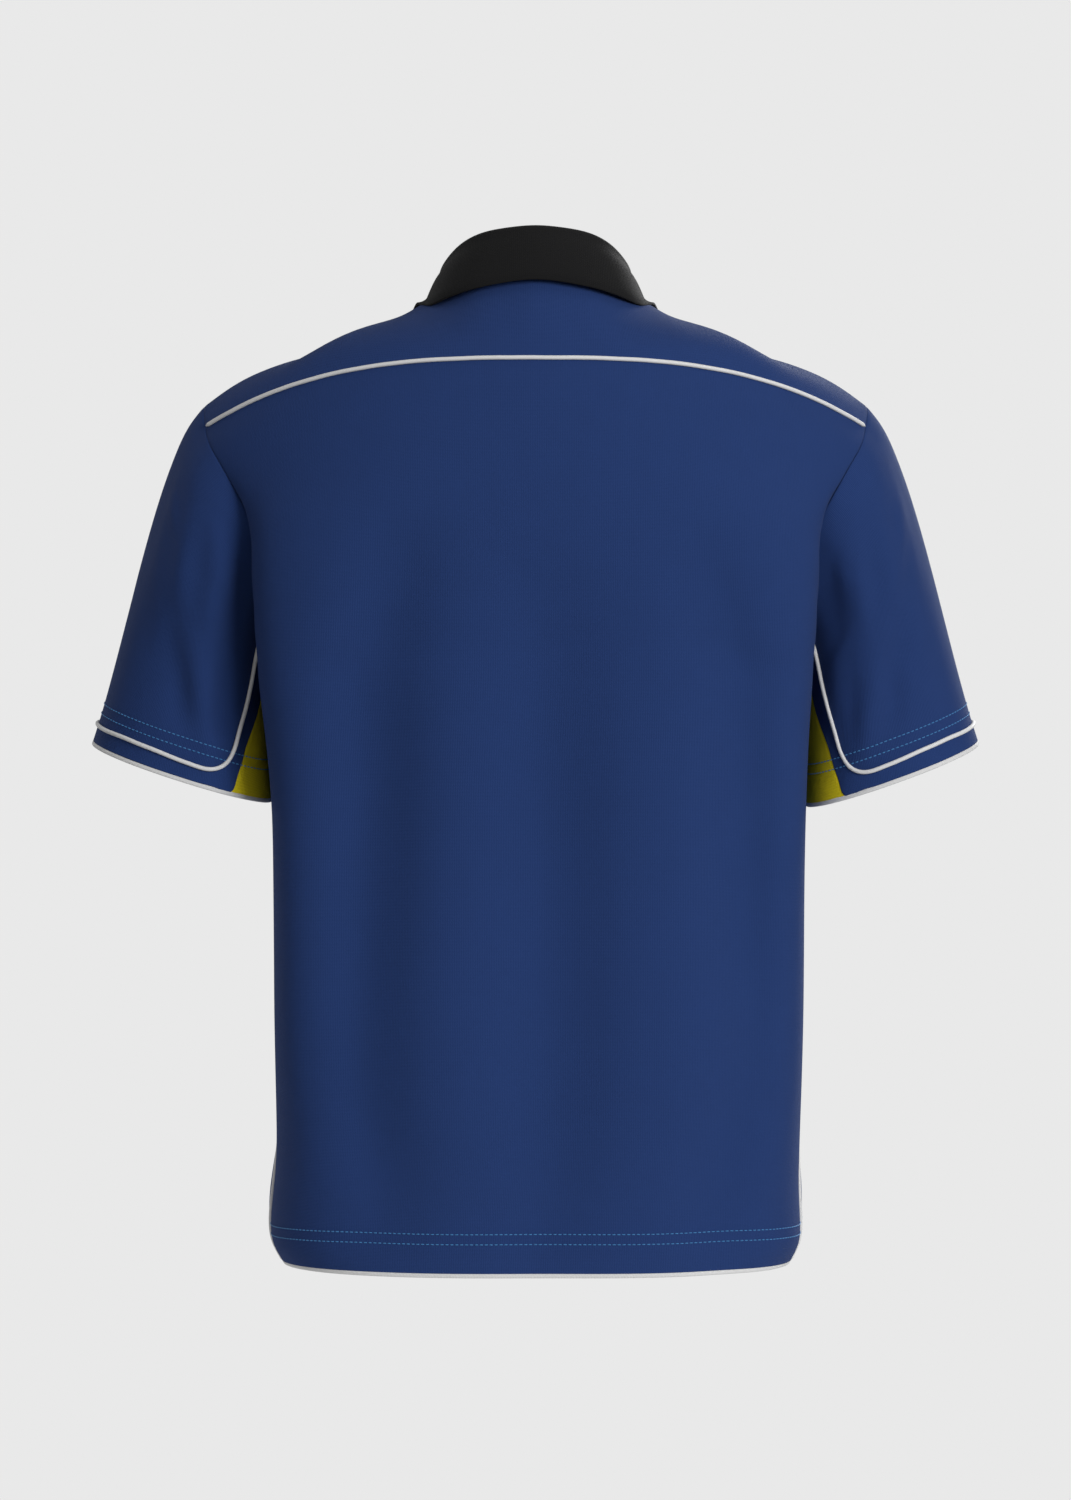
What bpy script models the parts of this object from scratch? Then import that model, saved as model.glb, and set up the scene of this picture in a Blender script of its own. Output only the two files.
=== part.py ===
"""A short-sleeved polo shirt, filled out as if worn, with nothing inside it.

The shirt faces -Y, its left sleeve is at +X and +Z is up. The origin is the middle of the neck,
level with the shoulders beside the collar. Every length in the tables is in millimetres.
The panels are open lofts through short tables of sections, given a wall thickness inwards.
Neighbouring panels share their seam's points, and each stands back from the seam by half its gap.
"""
import math

import bmesh
import bpy
import numpy as np
from mathutils import Vector
from mathutils.bvhtree import BVHTree

MM = 0.001

# Driving sizes
WALL = 1.0                  # thickness of the body and sleeve cloth
COLLAR_WALL = 1.8           # the collar is a thicker knit
SEAM_GAP = 0.3              # between two pieces at a seam, and under what lies on a panel
PIPED_GAP = 0.7             # between two pieces at a seam that a piping covers
PIPING_RADIUS = 1.6
EDGING_HEIGHT = 3.2         # the white edging under the hem and the cuffs
HALF_COLUMNS = 14           # columns of cloth from the middle of a panel to its side
NECK_COLUMNS = 7            # of those, the ones that end on the neckline
COLUMN_CROWDING = 1.3       # over 1 sets the columns closer together towards the sides
YOKE_DROP_POWER = 3.0       # how late the yoke seam turns down towards the armhole
NECK_CORNER_ANGLE = 112.0   # where the front shoulder seam meets the neckline, from the back

# Back panel above the underarm, from the yoke seam down. "fold" is the widest point of a
# section, past which the cloth turns in to the armhole seam. "round" is the curve's power and
# "turn" how much of its quarter circle it runs through before that point.
# Columns: centre_y, centre_z, fold_x, fold_y, seam_x, seam_y, seam_z, round, turn.
BACK_ROWS = (
    (110.0, -61.0, 248.5, 25.0, 248.5, 25.0, -107.5, 1.85, 62.0),
    (117.5, -82.0, 244.5, 41.0, 244.5, 41.0, -121.0, 1.95, 62.0),
    (123.0, -103.0, 236.5, 53.0, 236.5, 53.0, -135.0, 2.05, 64.0),
    (127.0, -125.0, 228.0, 61.0, 227.8, 60.5, -150.0, 2.15, 70.0),
    (129.5, -147.0, 220.0, 66.0, 219.2, 63.5, -165.0, 2.25, 80.0),
    (131.0, -169.0, 214.0, 68.0, 212.0, 62.0, -180.0, 2.4, 88.0),
    (131.5, -196.0, 211.3, 68.0, 206.0, 55.0, -202.0, 2.6, 90.0),
    (130.5, -224.0, 210.4, 66.0, 202.0, 44.0, -227.0, 2.8, 90.0),
    (129.0, -251.0, 209.3, 62.0, 199.0, 29.0, -252.0, 3.0, 90.0),
    (127.0, -274.0, 208.0, 57.0, 197.2, 13.0, -274.0, 3.2, 90.0),
)
# Front panel above the underarm, from the chest level where the armhole is deepest, with the same
# columns but the last. Above it the panel rises from the points given for its middle and its side.
FRONT_ROWS = (
    (-131.0, -165.0, 216.0, -76.0, 216.0, -76.0, -165.0, 2.1),
    (-137.0, -190.0, 211.0, -77.0, 208.5, -72.0, -190.0, 2.3),
    (-140.5, -220.0, 209.0, -75.0, 203.5, -61.0, -220.0, 2.45),
    (-142.0, -249.0, 208.0, -71.0, 199.5, -45.0, -249.0, 2.55),
    (-142.5, -274.0, 207.0, -66.0, 197.2, -23.0, -274.0, 2.6),
)
FRONT_MIDDLE = ((0.0, -113.0, -100.0), (0.0, -125.0, -132.0))
FRONT_ARMHOLE = ((245.5, -49.0, -119.0), (233.0, -67.0, -140.0))
FRONT_FULLNESS = (7.0, 15.0)        # how far the chest bows out at its middle, and more beside it
FRONT_FULL_WAY = (0.0, -0.75, 0.66)
# The tube of the body from the underarm to the hem, front and back alike.
BODY_COLUMNS = ("z", "seam_x", "seam_y", "back_y", "back_fold_x", "back_fold_y", "back_round",
                "front_y", "front_fold_x", "front_fold_y", "front_round", "sway")
BODY_ROWS = (
    (-292.0, 196.2, -5.0, 126.0, 206.8, 53.0, 3.3, -142.5, 206.0, -61.0, 2.6, 0.0),
    (-316.0, 196.6, -12.0, 124.5, 205.0, 49.0, 3.4, -142.5, 204.5, -58.0, 2.6, -0.5),
    (-345.0, 197.0, -18.0, 122.5, 202.6, 45.0, 3.5, -142.0, 203.0, -58.0, 2.6, -1.4),
    (-390.0, 196.0, -24.0, 121.0, 199.9, 42.0, 3.6, -141.0, 201.0, -60.0, 2.6, -2.5),
    (-440.0, 194.6, -30.0, 120.5, 199.0, 32.0, 3.7, -140.0, 199.6, -66.0, 2.6, -2.6),
    (-500.0, 193.8, -36.0, 122.0, 198.9, 20.0, 3.7, -139.0, 199.0, -70.0, 2.6, -2.6),
    (-570.0, 193.4, -38.0, 125.0, 198.3, 14.0, 3.6, -138.0, 198.6, -72.0, 2.6, -2.5),
    (-625.0, 194.6, -22.0, 127.5, 197.2, 8.0, 3.3, -137.5, 197.8, -70.0, 2.6, -2.2),
    (-656.0, 196.0, 0.0, 128.5, 196.6, 14.0, 3.2, -137.0, 199.8, -44.0, 2.55, -1.6),
    (-683.0, 197.6, 12.0, 129.2, 197.7, 14.0, 3.1, -137.0, 202.4, -30.0, 2.5, -0.4),
    (-706.0, 198.9, 12.0, 129.5, 199.0, 14.0, 3.0, -137.0, 202.8, -28.0, 2.45, 0.0),
    (-722.0, 197.4, 10.0, 129.5, 197.5, 12.0, 3.0, -136.5, 200.2, -28.0, 2.4, -0.4),
    (-734.6, 191.6, 8.0, 129.5, 191.7, 10.0, 3.0, -136.0, 193.0, -28.0, 2.4, -0.8),
)
HEM_RISE = 2.3              # the hem hangs this much higher at the sides than in the middle
HEM_RISE_TOP = -690.0       # where that rise sets in, and the height over which it is reached
HEM_RISE_SPAN = 45.0

# The neckline. Columns: angle round the neck from the middle of the back, x, y, z.
NECK_RING = (
    (0.0, 0.0, 76.0, 4.0),
    (30.0, 37.0, 66.0, 2.0),
    (60.0, 62.0, 39.0, -3.5),
    (90.0, 72.5, 2.0, -10.5),
    (112.0, 69.5, -31.0, -24.0),
    (140.0, 48.0, -69.0, -50.0),
    (160.0, 25.0, -89.0, -67.0),
    (180.0, 0.0, -96.0, -74.0),
)
# The front shoulder seam, from the neckline to the armhole.
FRONT_SEAM = ((69.5, -31.0, -24.0), (158.0, -42.0, -56.0), (249.5, -24.0, -104.0))
# The top of the shoulder, under the yoke's middle, from the middle of the back outwards.
YOKE_MIDDLE = (
    (0.0, 96.5, -27.0), (42.0, 90.0, -28.0), (76.0, 66.0, -27.0), (98.0, 41.0, -25.5),
    (112.0, 14.0, -28.0), (149.0, 4.0, -48.0), (188.0, 1.0, -57.0), (222.0, 0.0, -70.5),
    (250.8, 0.0, -90.0),
)
YOKE_ROWS = 8               # from the back seam over the shoulder
YOKE_REACH = 0.6            # how far the back's slope carries on into the yoke
FRONT_FLOW = 0.7            # how much of the yoke's slope carries on into the front panel

# Broad soft folds of the body. "turn" runs from -1 at the right side seam to 1 at the left one,
# and the folds die out within the last stretch of it before a seam.
FOLD_END_TURN = 0.08
FOLD_COLUMNS = ("panel", "turn", "lean", "top_z", "bottom_z", "width", "depth")
BODY_FOLDS = (
    ("back", 0.32, 0.03, -165.0, -738.0, 0.105, -19.0),
    ("back", -0.41, 0.00, -180.0, -750.0, 0.100, -17.0),
    ("back", -0.02, 0.00, -200.0, -755.0, 0.100, -14.0),
    ("front", 0.42, -0.04, -300.0, -690.0, 0.080, -4.5),
    ("front", -0.34, 0.05, -360.0, -700.0, 0.075, -4.5),
    ("front", -0.64, 0.02, -330.0, -680.0, 0.085, 3.0),
    ("front", 0.66, 0.00, -420.0, -700.0, 0.080, 3.5),
)

# Sleeve
CUFF_OUTER = (334.8, -342.0)        # x and z of the cuff's outer end
CUFF_INNER = {1.0: (202.0, -385.5), -1.0: (202.0, -389.0)}      # by the side's sign
CUFF_CENTRE_Y = -3.0
CUFF_BACK = (0.0, 58.0, -6.0)       # from the cuff's middle to its back
CUFF_ROUND = 2.15
CUFF_COLUMNS = 36
LINE_CROWDING = 1.4         # over 1 sets the rows of a sleeve closer together towards the cuff
CUFF_CROWDING = 1.3         # and the points of its cuff line closer together at the corner
SIDE_ROWS = 11              # rows of the sleeve panels from the armhole to the piping's turn
UNDERARM_BACK_ROW = 10      # the row of the back panel that reaches the underarm
UNDERARM_FRONT_ROW = 11
GUSSET_STEPS = 1            # armhole points from the underarm to the gusset's edge
BAND_STEPS = 1              # armhole points from there to the piping
PIPING_START = 1            # points of the piping's line left free at the armhole
SIDE_PIPING_START = 2
# Directions and strengths in which the sleeve leaves the armhole and reaches the cuff. Columns:
# place, start_x, start_y, start_z, pull, end_x, end_z, push.
SLEEVE_FLOW = (
    (0.0, 0.75, 0.00, -0.66, 0.50, 0.32, -0.95, 0.9),
    (0.12, 0.78, 0.06, -0.60, 0.60, 0.32, -0.95, 0.9),
    (0.25, 0.85, 0.16, -0.50, 0.70, 0.30, -0.95, 0.8),
    (0.38, 0.88, 0.15, -0.45, 0.60, 0.12, -1.00, 0.6),
    (0.50, 0.70, 0.00, -0.72, 0.60, 0.00, -1.00, 0.3),
)
# Soft folds of a sleeve: a place round it, from the top (0) by the back (0.25) to the
# underarm (0.5), the middle and reach of the fold along it, its widths and its depth.
SLEEVE_FOLD_COLUMNS = ("place", "lean", "along", "reach", "width", "depth")
SLEEVE_FOLDS = (
    (0.255, 0.00, 0.30, 0.30, 0.030, 4.5),
    (0.165, 0.02, 0.38, 0.26, 0.022, 3.0),
    (0.210, 0.16, 0.66, 0.24, 0.032, -4.5),
    (0.275, 0.10, 0.72, 0.20, 0.028, 2.5),
    (0.325, 0.03, 0.62, 0.26, 0.032, -3.5),
    (0.745, 0.00, 0.30, 0.30, 0.030, 4.5),
    (0.690, -0.14, 0.66, 0.24, 0.032, -4.5),
    (0.835, -0.02, 0.42, 0.26, 0.024, 3.0),
)
CUFF_EDGE_SHARE = 0.985     # share along of the points that give the way of the cuff's edging
ROUND_TO_ALONG = 1.6        # length of the sleeve's whole round, as a multiple of its length
# The sleeve's piping, down the back and round above the cuff: place round and share along.
PIPING_SIDE = ((0.398, 0.0), (0.404, 0.25), (0.398, 0.40), (0.386, 0.52), (0.368, 0.66),
               (0.355, 0.77), (0.339, 0.85))
PIPING_CUFF = ((0.339, 0.85), (0.322, 0.893), (0.298, 0.920), (0.255, 0.928), (0.200, 0.932),
               (0.130, 0.938), (0.065, 0.945), (0.0, 0.947))
GUSSET_EDGE = ((0.478, 0.0), (0.468, 0.28), (0.446, 0.45), (0.413, 0.60), (0.391, 0.70),
               (0.377, 0.80), (0.365, 0.90), (0.355, 1.0))

# Collar, by the angle round the neck: its fold line and its lower edge. Columns: angle, fold_x,
# fold_y, fold_z, edge_x, edge_y, edge_z.
COLLAR_ROWS = (
    (0.0, 0.0, 79.0, 39.0, 0.0, 88.0, -1.0),
    (30.0, 37.0, 69.0, 35.0, 47.0, 80.0, -7.5),
    (60.0, 61.0, 42.0, 22.5, 79.0, 50.0, -17.5),
    (90.0, 70.0, 4.0, 7.5, 93.5, 3.0, -21.0),
    (112.0, 68.0, -30.0, -6.5, 103.0, -38.0, -36.5),
    (140.0, 48.0, -71.0, -32.0, 92.0, -86.0, -72.0),
    (160.0, 26.0, -94.0, -50.0, 71.0, -113.0, -103.0),
    (176.0, 6.0, -103.0, -58.5, 47.0, -126.0, -127.0),
)
COLLAR_ROLL = 2.7           # radius of the fold at the collar's top
COLLAR_CLEAR = 3.0          # from the cloth of the body to the middle of the collar's wall
COLLAR_PASSES = 12          # rounds of lifting its faces clear of the cloth
COLLAR_FOOT = 0.7           # the stand starts this far above the neckline
COLLAR_CROWN = 1.2          # the fall bows out this far

# Placket and buttons
PLACKET_HALF_WIDTH = 16.0
PLACKET_ROWS = 8            # rows of the front panel that it covers
PLACKET_TOP_SHARE = 0.15    # how far below the neckline it starts, as a share of a row
PLACKET_WALL = 1.2
PLACKET_LIFT = 0.5          # off the front panel, whose faces are slightly twisted
BUTTON_RADIUS = 5.7
BUTTON_HEIGHT = 2.4
BUTTON_LIFT = 0.6
BUTTON_PLACES = (0.12, 0.50, 0.86)      # share of the placket's length, from the top

BLUE = (0.018, 0.042, 0.152)
BLACK = (0.010, 0.010, 0.011)
WHITE = (0.62, 0.62, 0.62)
YELLOW = (0.30, 0.24, 0.010)
BUTTON_COLOUR = (0.012, 0.012, 0.014)

SIDES = (("left", 1.0), ("right", -1.0))


def steady_curve(knots, values, where):
    """Monotone cubic through the values, which never swings past its neighbours."""
    knots = np.asarray(knots, float)
    values = np.asarray(values, float)
    if values.ndim == 1:
        values = values[:, None]
    steps = np.diff(knots)[:, None]
    slopes = np.diff(values, axis=0) / steps
    tangents = np.zeros_like(values)
    tangents[0], tangents[-1] = slopes[0], slopes[-1]
    before, after = slopes[:-1], slopes[1:]
    same_way = before * after > 0
    total = np.where(same_way, before + after, 1.0)
    tangents[1:-1] = np.where(same_way, 2 * before * after / total, 0.0)
    where = np.clip(np.atleast_1d(np.asarray(where, float)), knots[0], knots[-1])
    left = np.clip(np.searchsorted(knots, where, side="right") - 1, 0, len(knots) - 2)
    t = ((where - knots[left]) / steps[left, 0])[:, None]
    h = steps[left]
    return ((1 + 2 * t) * (1 - t) ** 2 * values[left] + t * (1 - t) ** 2 * h * tangents[left]
            + t * t * (3 - 2 * t) * values[left + 1] + t * t * (t - 1) * h * tangents[left + 1])


def mirrored_curve(table, where):
    """Smooth curves through rows of (knot, x, y, z, ...) that cross the middle squarely."""
    table = np.array(table, float)
    before = table[1] * np.array([-1.0] + [-1.0, 1.0, 1.0] * (table.shape[1] // 3))
    table = np.vstack([before, table])
    return steady_curve(table[:, 0], table[:, 1:], where)


def flowing_rows(rows, steps, start=None, start_share=0.0):
    """Rows of points with smooth rows put between them; steps gives how many after each.

    start gives directions in which the first row leaves, followed by start_share of the way.
    """
    rows = np.asarray(rows, float)
    spans = np.linalg.norm(np.diff(rows, axis=0), axis=2).mean(axis=1)
    knots = np.concatenate(([0.0], np.cumsum(spans)))
    tangents = np.gradient(rows, knots, axis=0)
    if start is not None:
        speed = np.linalg.norm(tangents[0], axis=1, keepdims=True)
        tangents[0] += (start * speed - tangents[0]) * start_share
    result = [rows[0]]
    for k, count in enumerate(steps):
        h = knots[k + 1] - knots[k]
        for i in range(1, count + 1):
            t = i / count
            result.append((1 + 2 * t) * (1 - t) ** 2 * rows[k] + t * (1 - t) ** 2 * h * tangents[k]
                          + t * t * (3 - 2 * t) * rows[k + 1]
                          + t * t * (t - 1) * h * tangents[k + 1])
    return np.array(result)


def along(points, shares):
    """Points at the given shares of a polyline's length."""
    points = np.asarray(points, float)
    lengths = np.concatenate(([0.0], np.cumsum(np.linalg.norm(np.diff(points, axis=0), axis=1))))
    where = np.asarray(shares, float) * lengths[-1]
    return np.stack([np.interp(where, lengths, points[:, k]) for k in range(3)], axis=1)


def unit(vectors):
    return vectors / np.maximum(np.linalg.norm(vectors, axis=-1, keepdims=True), 1e-12)


def grid_normals(grid):
    """Unit normals of a grid of points, along columns crossed with along rows."""
    across = np.gradient(grid, axis=1)
    down = np.gradient(grid, axis=0)
    return unit(np.cross(across, down))


def column_shares():
    return 1 - (1 - np.arange(HALF_COLUMNS + 1) / HALF_COLUMNS) ** COLUMN_CROWDING


def half_section(centre_y, fold_x, fold_y, seam_x, seam_y, power, turn_end=90.0):
    """Plan curve of half a panel: a superellipse to its widest point, then in to the seam."""
    turn = np.radians(np.linspace(0.0, turn_end, 200))
    side = np.sin(turn) ** (2 / power)
    depth = np.maximum(np.cos(turn), 0.0) ** (2 / power)
    main = np.stack([fold_x * side / side[-1],
                     fold_y + (centre_y - fold_y) * (depth - depth[-1]) / (1 - depth[-1])], axis=1)
    if abs(fold_x - seam_x) + abs(fold_y - seam_y) < 1e-6:
        return main
    ease = np.linspace(0.0, 1.0, 40)[1:, None]
    tail_x = seam_x + (fold_x - seam_x) * np.cos(ease * math.pi / 2) ** 2
    tail_y = fold_y + (seam_y - fold_y) * ease
    return np.concatenate([main, np.hstack([tail_x, tail_y])])


def panel_row(centre_y, centre_z, fold_x, fold_y, seam_x, seam_y, seam_z, power, turn_end=90.0,
              sway=0.0):
    """One row of a panel from its right side to its left side."""
    plan = half_section(centre_y, fold_x, fold_y, seam_x, seam_y, power, turn_end)
    reach = np.clip(plan[:, 0] / fold_x, 0.0, 1.0) ** YOKE_DROP_POWER
    heights = centre_z + (seam_z - centre_z) * reach
    half = along(np.column_stack([plan, heights]), column_shares())
    half[-1] = (seam_x, seam_y, seam_z)
    mirrored = half[:0:-1] * (-1.0, 1.0, 1.0)
    return np.concatenate([mirrored, half]) + (sway, 0.0, 0.0)


def body_rows(face):
    """The rows of the back or the front panel below the underarm."""
    rows = []
    for values in BODY_ROWS:
        row = dict(zip(BODY_COLUMNS, values))
        rise = HEM_RISE * max(0.0, (HEM_RISE_TOP - row["z"]) / HEM_RISE_SPAN)
        rows.append(panel_row(row[face + "_y"], row["z"], row[face + "_fold_x"],
                              row[face + "_fold_y"], row["seam_x"], row["seam_y"],
                              row["z"] + rise, row[face + "_round"], sway=row["sway"]))
    return rows


def neck_point(angles):
    """Points of the neckline on the shirt's left, by the angle from the middle of the back."""
    return mirrored_curve(NECK_RING, angles)


def neck_angles_back():
    return np.linspace(0.0, NECK_CORNER_ANGLE, NECK_COLUMNS + 1)


def neck_angles_front():
    return np.linspace(180.0, NECK_CORNER_ANGLE, NECK_COLUMNS + 1)


def front_seam_points():
    """The front shoulder seam from the neckline outwards, one point for each column."""
    start, middle, end = (np.array(p) for p in FRONT_SEAM)
    t = np.linspace(0.0, 1.0, 60)[:, None]
    curve = start * (1 - t) * (1 - 2 * t) + middle * 4 * t * (1 - t) + end * t * (2 * t - 1)
    return along(curve, np.linspace(0.0, 1.0, HALF_COLUMNS - NECK_COLUMNS + 1))


def both_sides(half):
    """A full row from the half of it that runs from the middle to the left."""
    return np.concatenate([half[:0:-1] * (-1.0, 1.0, 1.0), half])


def push_folds(grid, panel):
    """Move a panel's points in and out along its normals by the table of folds."""
    normals = grid_normals(grid)
    if panel == "front":
        normals = -normals
    turn = np.linspace(-1.0, 1.0, grid.shape[1])[None, :]
    depth = np.zeros(grid.shape[:2])
    for values in BODY_FOLDS:
        fold = dict(zip(FOLD_COLUMNS, values))
        if fold["panel"] != panel:
            continue
        z = grid[:, :, 2]
        share = np.clip((fold["top_z"] - z) / (fold["top_z"] - fold["bottom_z"]), 0.0, 1.0)
        middle = fold["turn"] + fold["lean"] * share
        ends = np.sin(math.pi * share) ** 0.8
        depth += fold["depth"] * ends * np.exp(-((turn - middle) / fold["width"]) ** 2)
    edge = np.clip((1 - np.abs(turn)) / FOLD_END_TURN, 0.0, 1.0)
    return grid + normals * (depth * edge)[:, :, None]


def back_grid():
    upper = [panel_row(*values) for values in BACK_ROWS]
    rows = upper + body_rows("back")
    return push_folds(flowing_rows(rows, [1] * (len(rows) - 1)), "back")


def yoke_grid(back):
    """The yoke from the back seam over the shoulders to the neckline and the front seam."""
    bottom = back[0]
    neck = neck_point(neck_angles_back())
    top = both_sides(np.concatenate([neck, front_seam_points()[1:]]))
    table = np.column_stack([np.arange(len(YOKE_MIDDLE)), YOKE_MIDDLE])
    middle = both_sides(mirrored_curve(table, np.linspace(0.0, table[-1, 0], HALF_COLUMNS + 1)))
    t = np.linspace(0.0, 1.0, YOKE_ROWS + 1)[:, None, None]
    arched = bottom * (1 - t) * (1 - 2 * t) + middle * 4 * t * (1 - t) + top * t * (2 * t - 1)
    plain_rise = 4 * middle - 3 * bottom - top
    rise = unit(back[0] - back[1]) * np.linalg.norm(plain_rise, axis=1)[:, None]
    return arched + (rise - plain_rise) * t * np.clip(1 - t / YOKE_REACH, 0.0, 1.0) ** 2


def front_grid(yoke):
    neck = neck_point(neck_angles_front())
    half_top = np.concatenate([neck, front_seam_points()[1:]])
    chest = panel_row(*FRONT_ROWS[0])
    half_chest = chest[HALF_COLUMNS:]
    centre_curve = np.array([half_top[0], *FRONT_MIDDLE, half_chest[0]])
    armhole_curve = np.array([half_top[-1], *FRONT_ARMHOLE, half_chest[-1]])
    places = np.linspace(0.0, 1.0, HALF_COLUMNS + 1)
    at_middle, beside = FRONT_FULLNESS
    fullness = (at_middle + beside * np.sin(math.pi * places) ** 1.5)[:, None]
    u = places[:, None]
    rows = [half_top]
    for k in (1, 2):
        v = k / 3
        ruled = (1 - v) * half_top + v * half_chest
        corners = ((1 - u) * ((1 - v) * half_top[0] + v * half_chest[0])
                   + u * ((1 - v) * half_top[-1] + v * half_chest[-1]))
        sides = (1 - u) * centre_curve[k] + u * armhole_curve[k]
        ends = (np.sin(math.pi * places) ** 0.7)[:, None]
        bow = np.array(FRONT_FULL_WAY) * fullness * ends * math.sin(math.pi * v)
        rows.append(ruled + sides - corners + bow)
    rows = [both_sides(row) for row in rows] + [chest]
    rows += [panel_row(*values) for values in FRONT_ROWS[1:]] + body_rows("front")
    off_middle = np.abs(np.arange(-HALF_COLUMNS, HALF_COLUMNS + 1))[:, None] / NECK_COLUMNS
    share = FRONT_FLOW * np.clip(off_middle, 0.0, 1.0) ** 3
    grid = flowing_rows(rows, [2] * 3 + [1] * (len(rows) - 4), unit(yoke[-1] - yoke[-2]), share)
    return push_folds(grid, "front")


def set_back(grid, **gaps):
    """Draw the named edges of a panel (top, bottom, first, last) back by half of each gap."""
    grid = np.array(grid)
    inner = grid.copy()
    grid[0] += unit(inner[1] - inner[0]) * gaps.get("top", 0.0) / 2
    grid[-1] += unit(inner[-2] - inner[-1]) * gaps.get("bottom", 0.0) / 2
    grid[:, 0] += unit(inner[:, 1] - inner[:, 0]) * gaps.get("first", 0.0) / 2
    grid[:, -1] += unit(inner[:, -2] - inner[:, -1]) * gaps.get("last", 0.0) / 2
    return grid


def material(name, colour, roughness):
    surface = bpy.data.materials.new(name)
    surface.use_nodes = True
    shader = surface.node_tree.nodes["Principled BSDF"]
    shader.inputs["Base Color"].default_value = (*colour, 1.0)
    shader.inputs["Roughness"].default_value = roughness
    shader.inputs["Metallic"].default_value = 0.0
    surface.diffuse_color = (*colour, 1.0)
    return surface


def add_object(name, data, surface, collection):
    data.materials.append(surface)
    thing = bpy.data.objects.new(name, data)
    collection.objects.link(thing)
    return thing


def grid_mesh(name, grid, outward, closed=False):
    """An open sheet of quads through a grid of points, its faces turned towards outward(centre)."""
    rows, columns = grid.shape[:2]
    mesh = bmesh.new()
    points = [[mesh.verts.new(Vector(p) * MM) for p in row] for row in grid]
    across = columns if closed else columns - 1
    for r in range(rows - 1):
        for c in range(across):
            d = (c + 1) % columns
            mesh.faces.new((points[r][c], points[r + 1][c], points[r + 1][d], points[r][d]))
    mesh.normal_update()
    middle_face = mesh.faces[:][len(mesh.faces) // 2]
    if middle_face.normal.dot(outward(middle_face.calc_center_median() / MM)) < 0:
        bmesh.ops.reverse_faces(mesh, faces=mesh.faces[:])
    data = bpy.data.meshes.new(name)
    mesh.to_mesh(data)
    mesh.free()
    data.shade_smooth()
    return data


def add_sheet(name, grid, outward, wall, offset, surface, collection, closed=False):
    """A piece of cloth: an open sheet with a wall given by Solidify."""
    thing = add_object(name, grid_mesh(name, grid, outward, closed), surface, collection)
    solid = thing.modifiers.new("wall", "SOLIDIFY")
    solid.thickness = wall * MM
    solid.offset = offset
    solid.use_even_offset = True
    solid.use_quality_normals = True
    return thing


def add_piping(name, points, radius, surface, collection):
    """A round cord of piping through the points."""
    curve = bpy.data.curves.new(name, "CURVE")
    curve.dimensions = "3D"
    curve.bevel_depth = radius * MM
    curve.bevel_resolution = 1
    curve.use_fill_caps = True
    spline = curve.splines.new("POLY")
    spline.points.add(len(points) - 1)
    for slot, point in zip(spline.points, points):
        slot.co = (*(Vector(point) * MM), 1.0)
    return add_object(name, curve, surface, collection)


def away_from(axis_point):
    """A function that gives the direction from an upright axis to a point."""
    base = Vector(axis_point)
    return lambda centre: Vector((centre.x - base.x, centre.y - base.y, 0.0))


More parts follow.
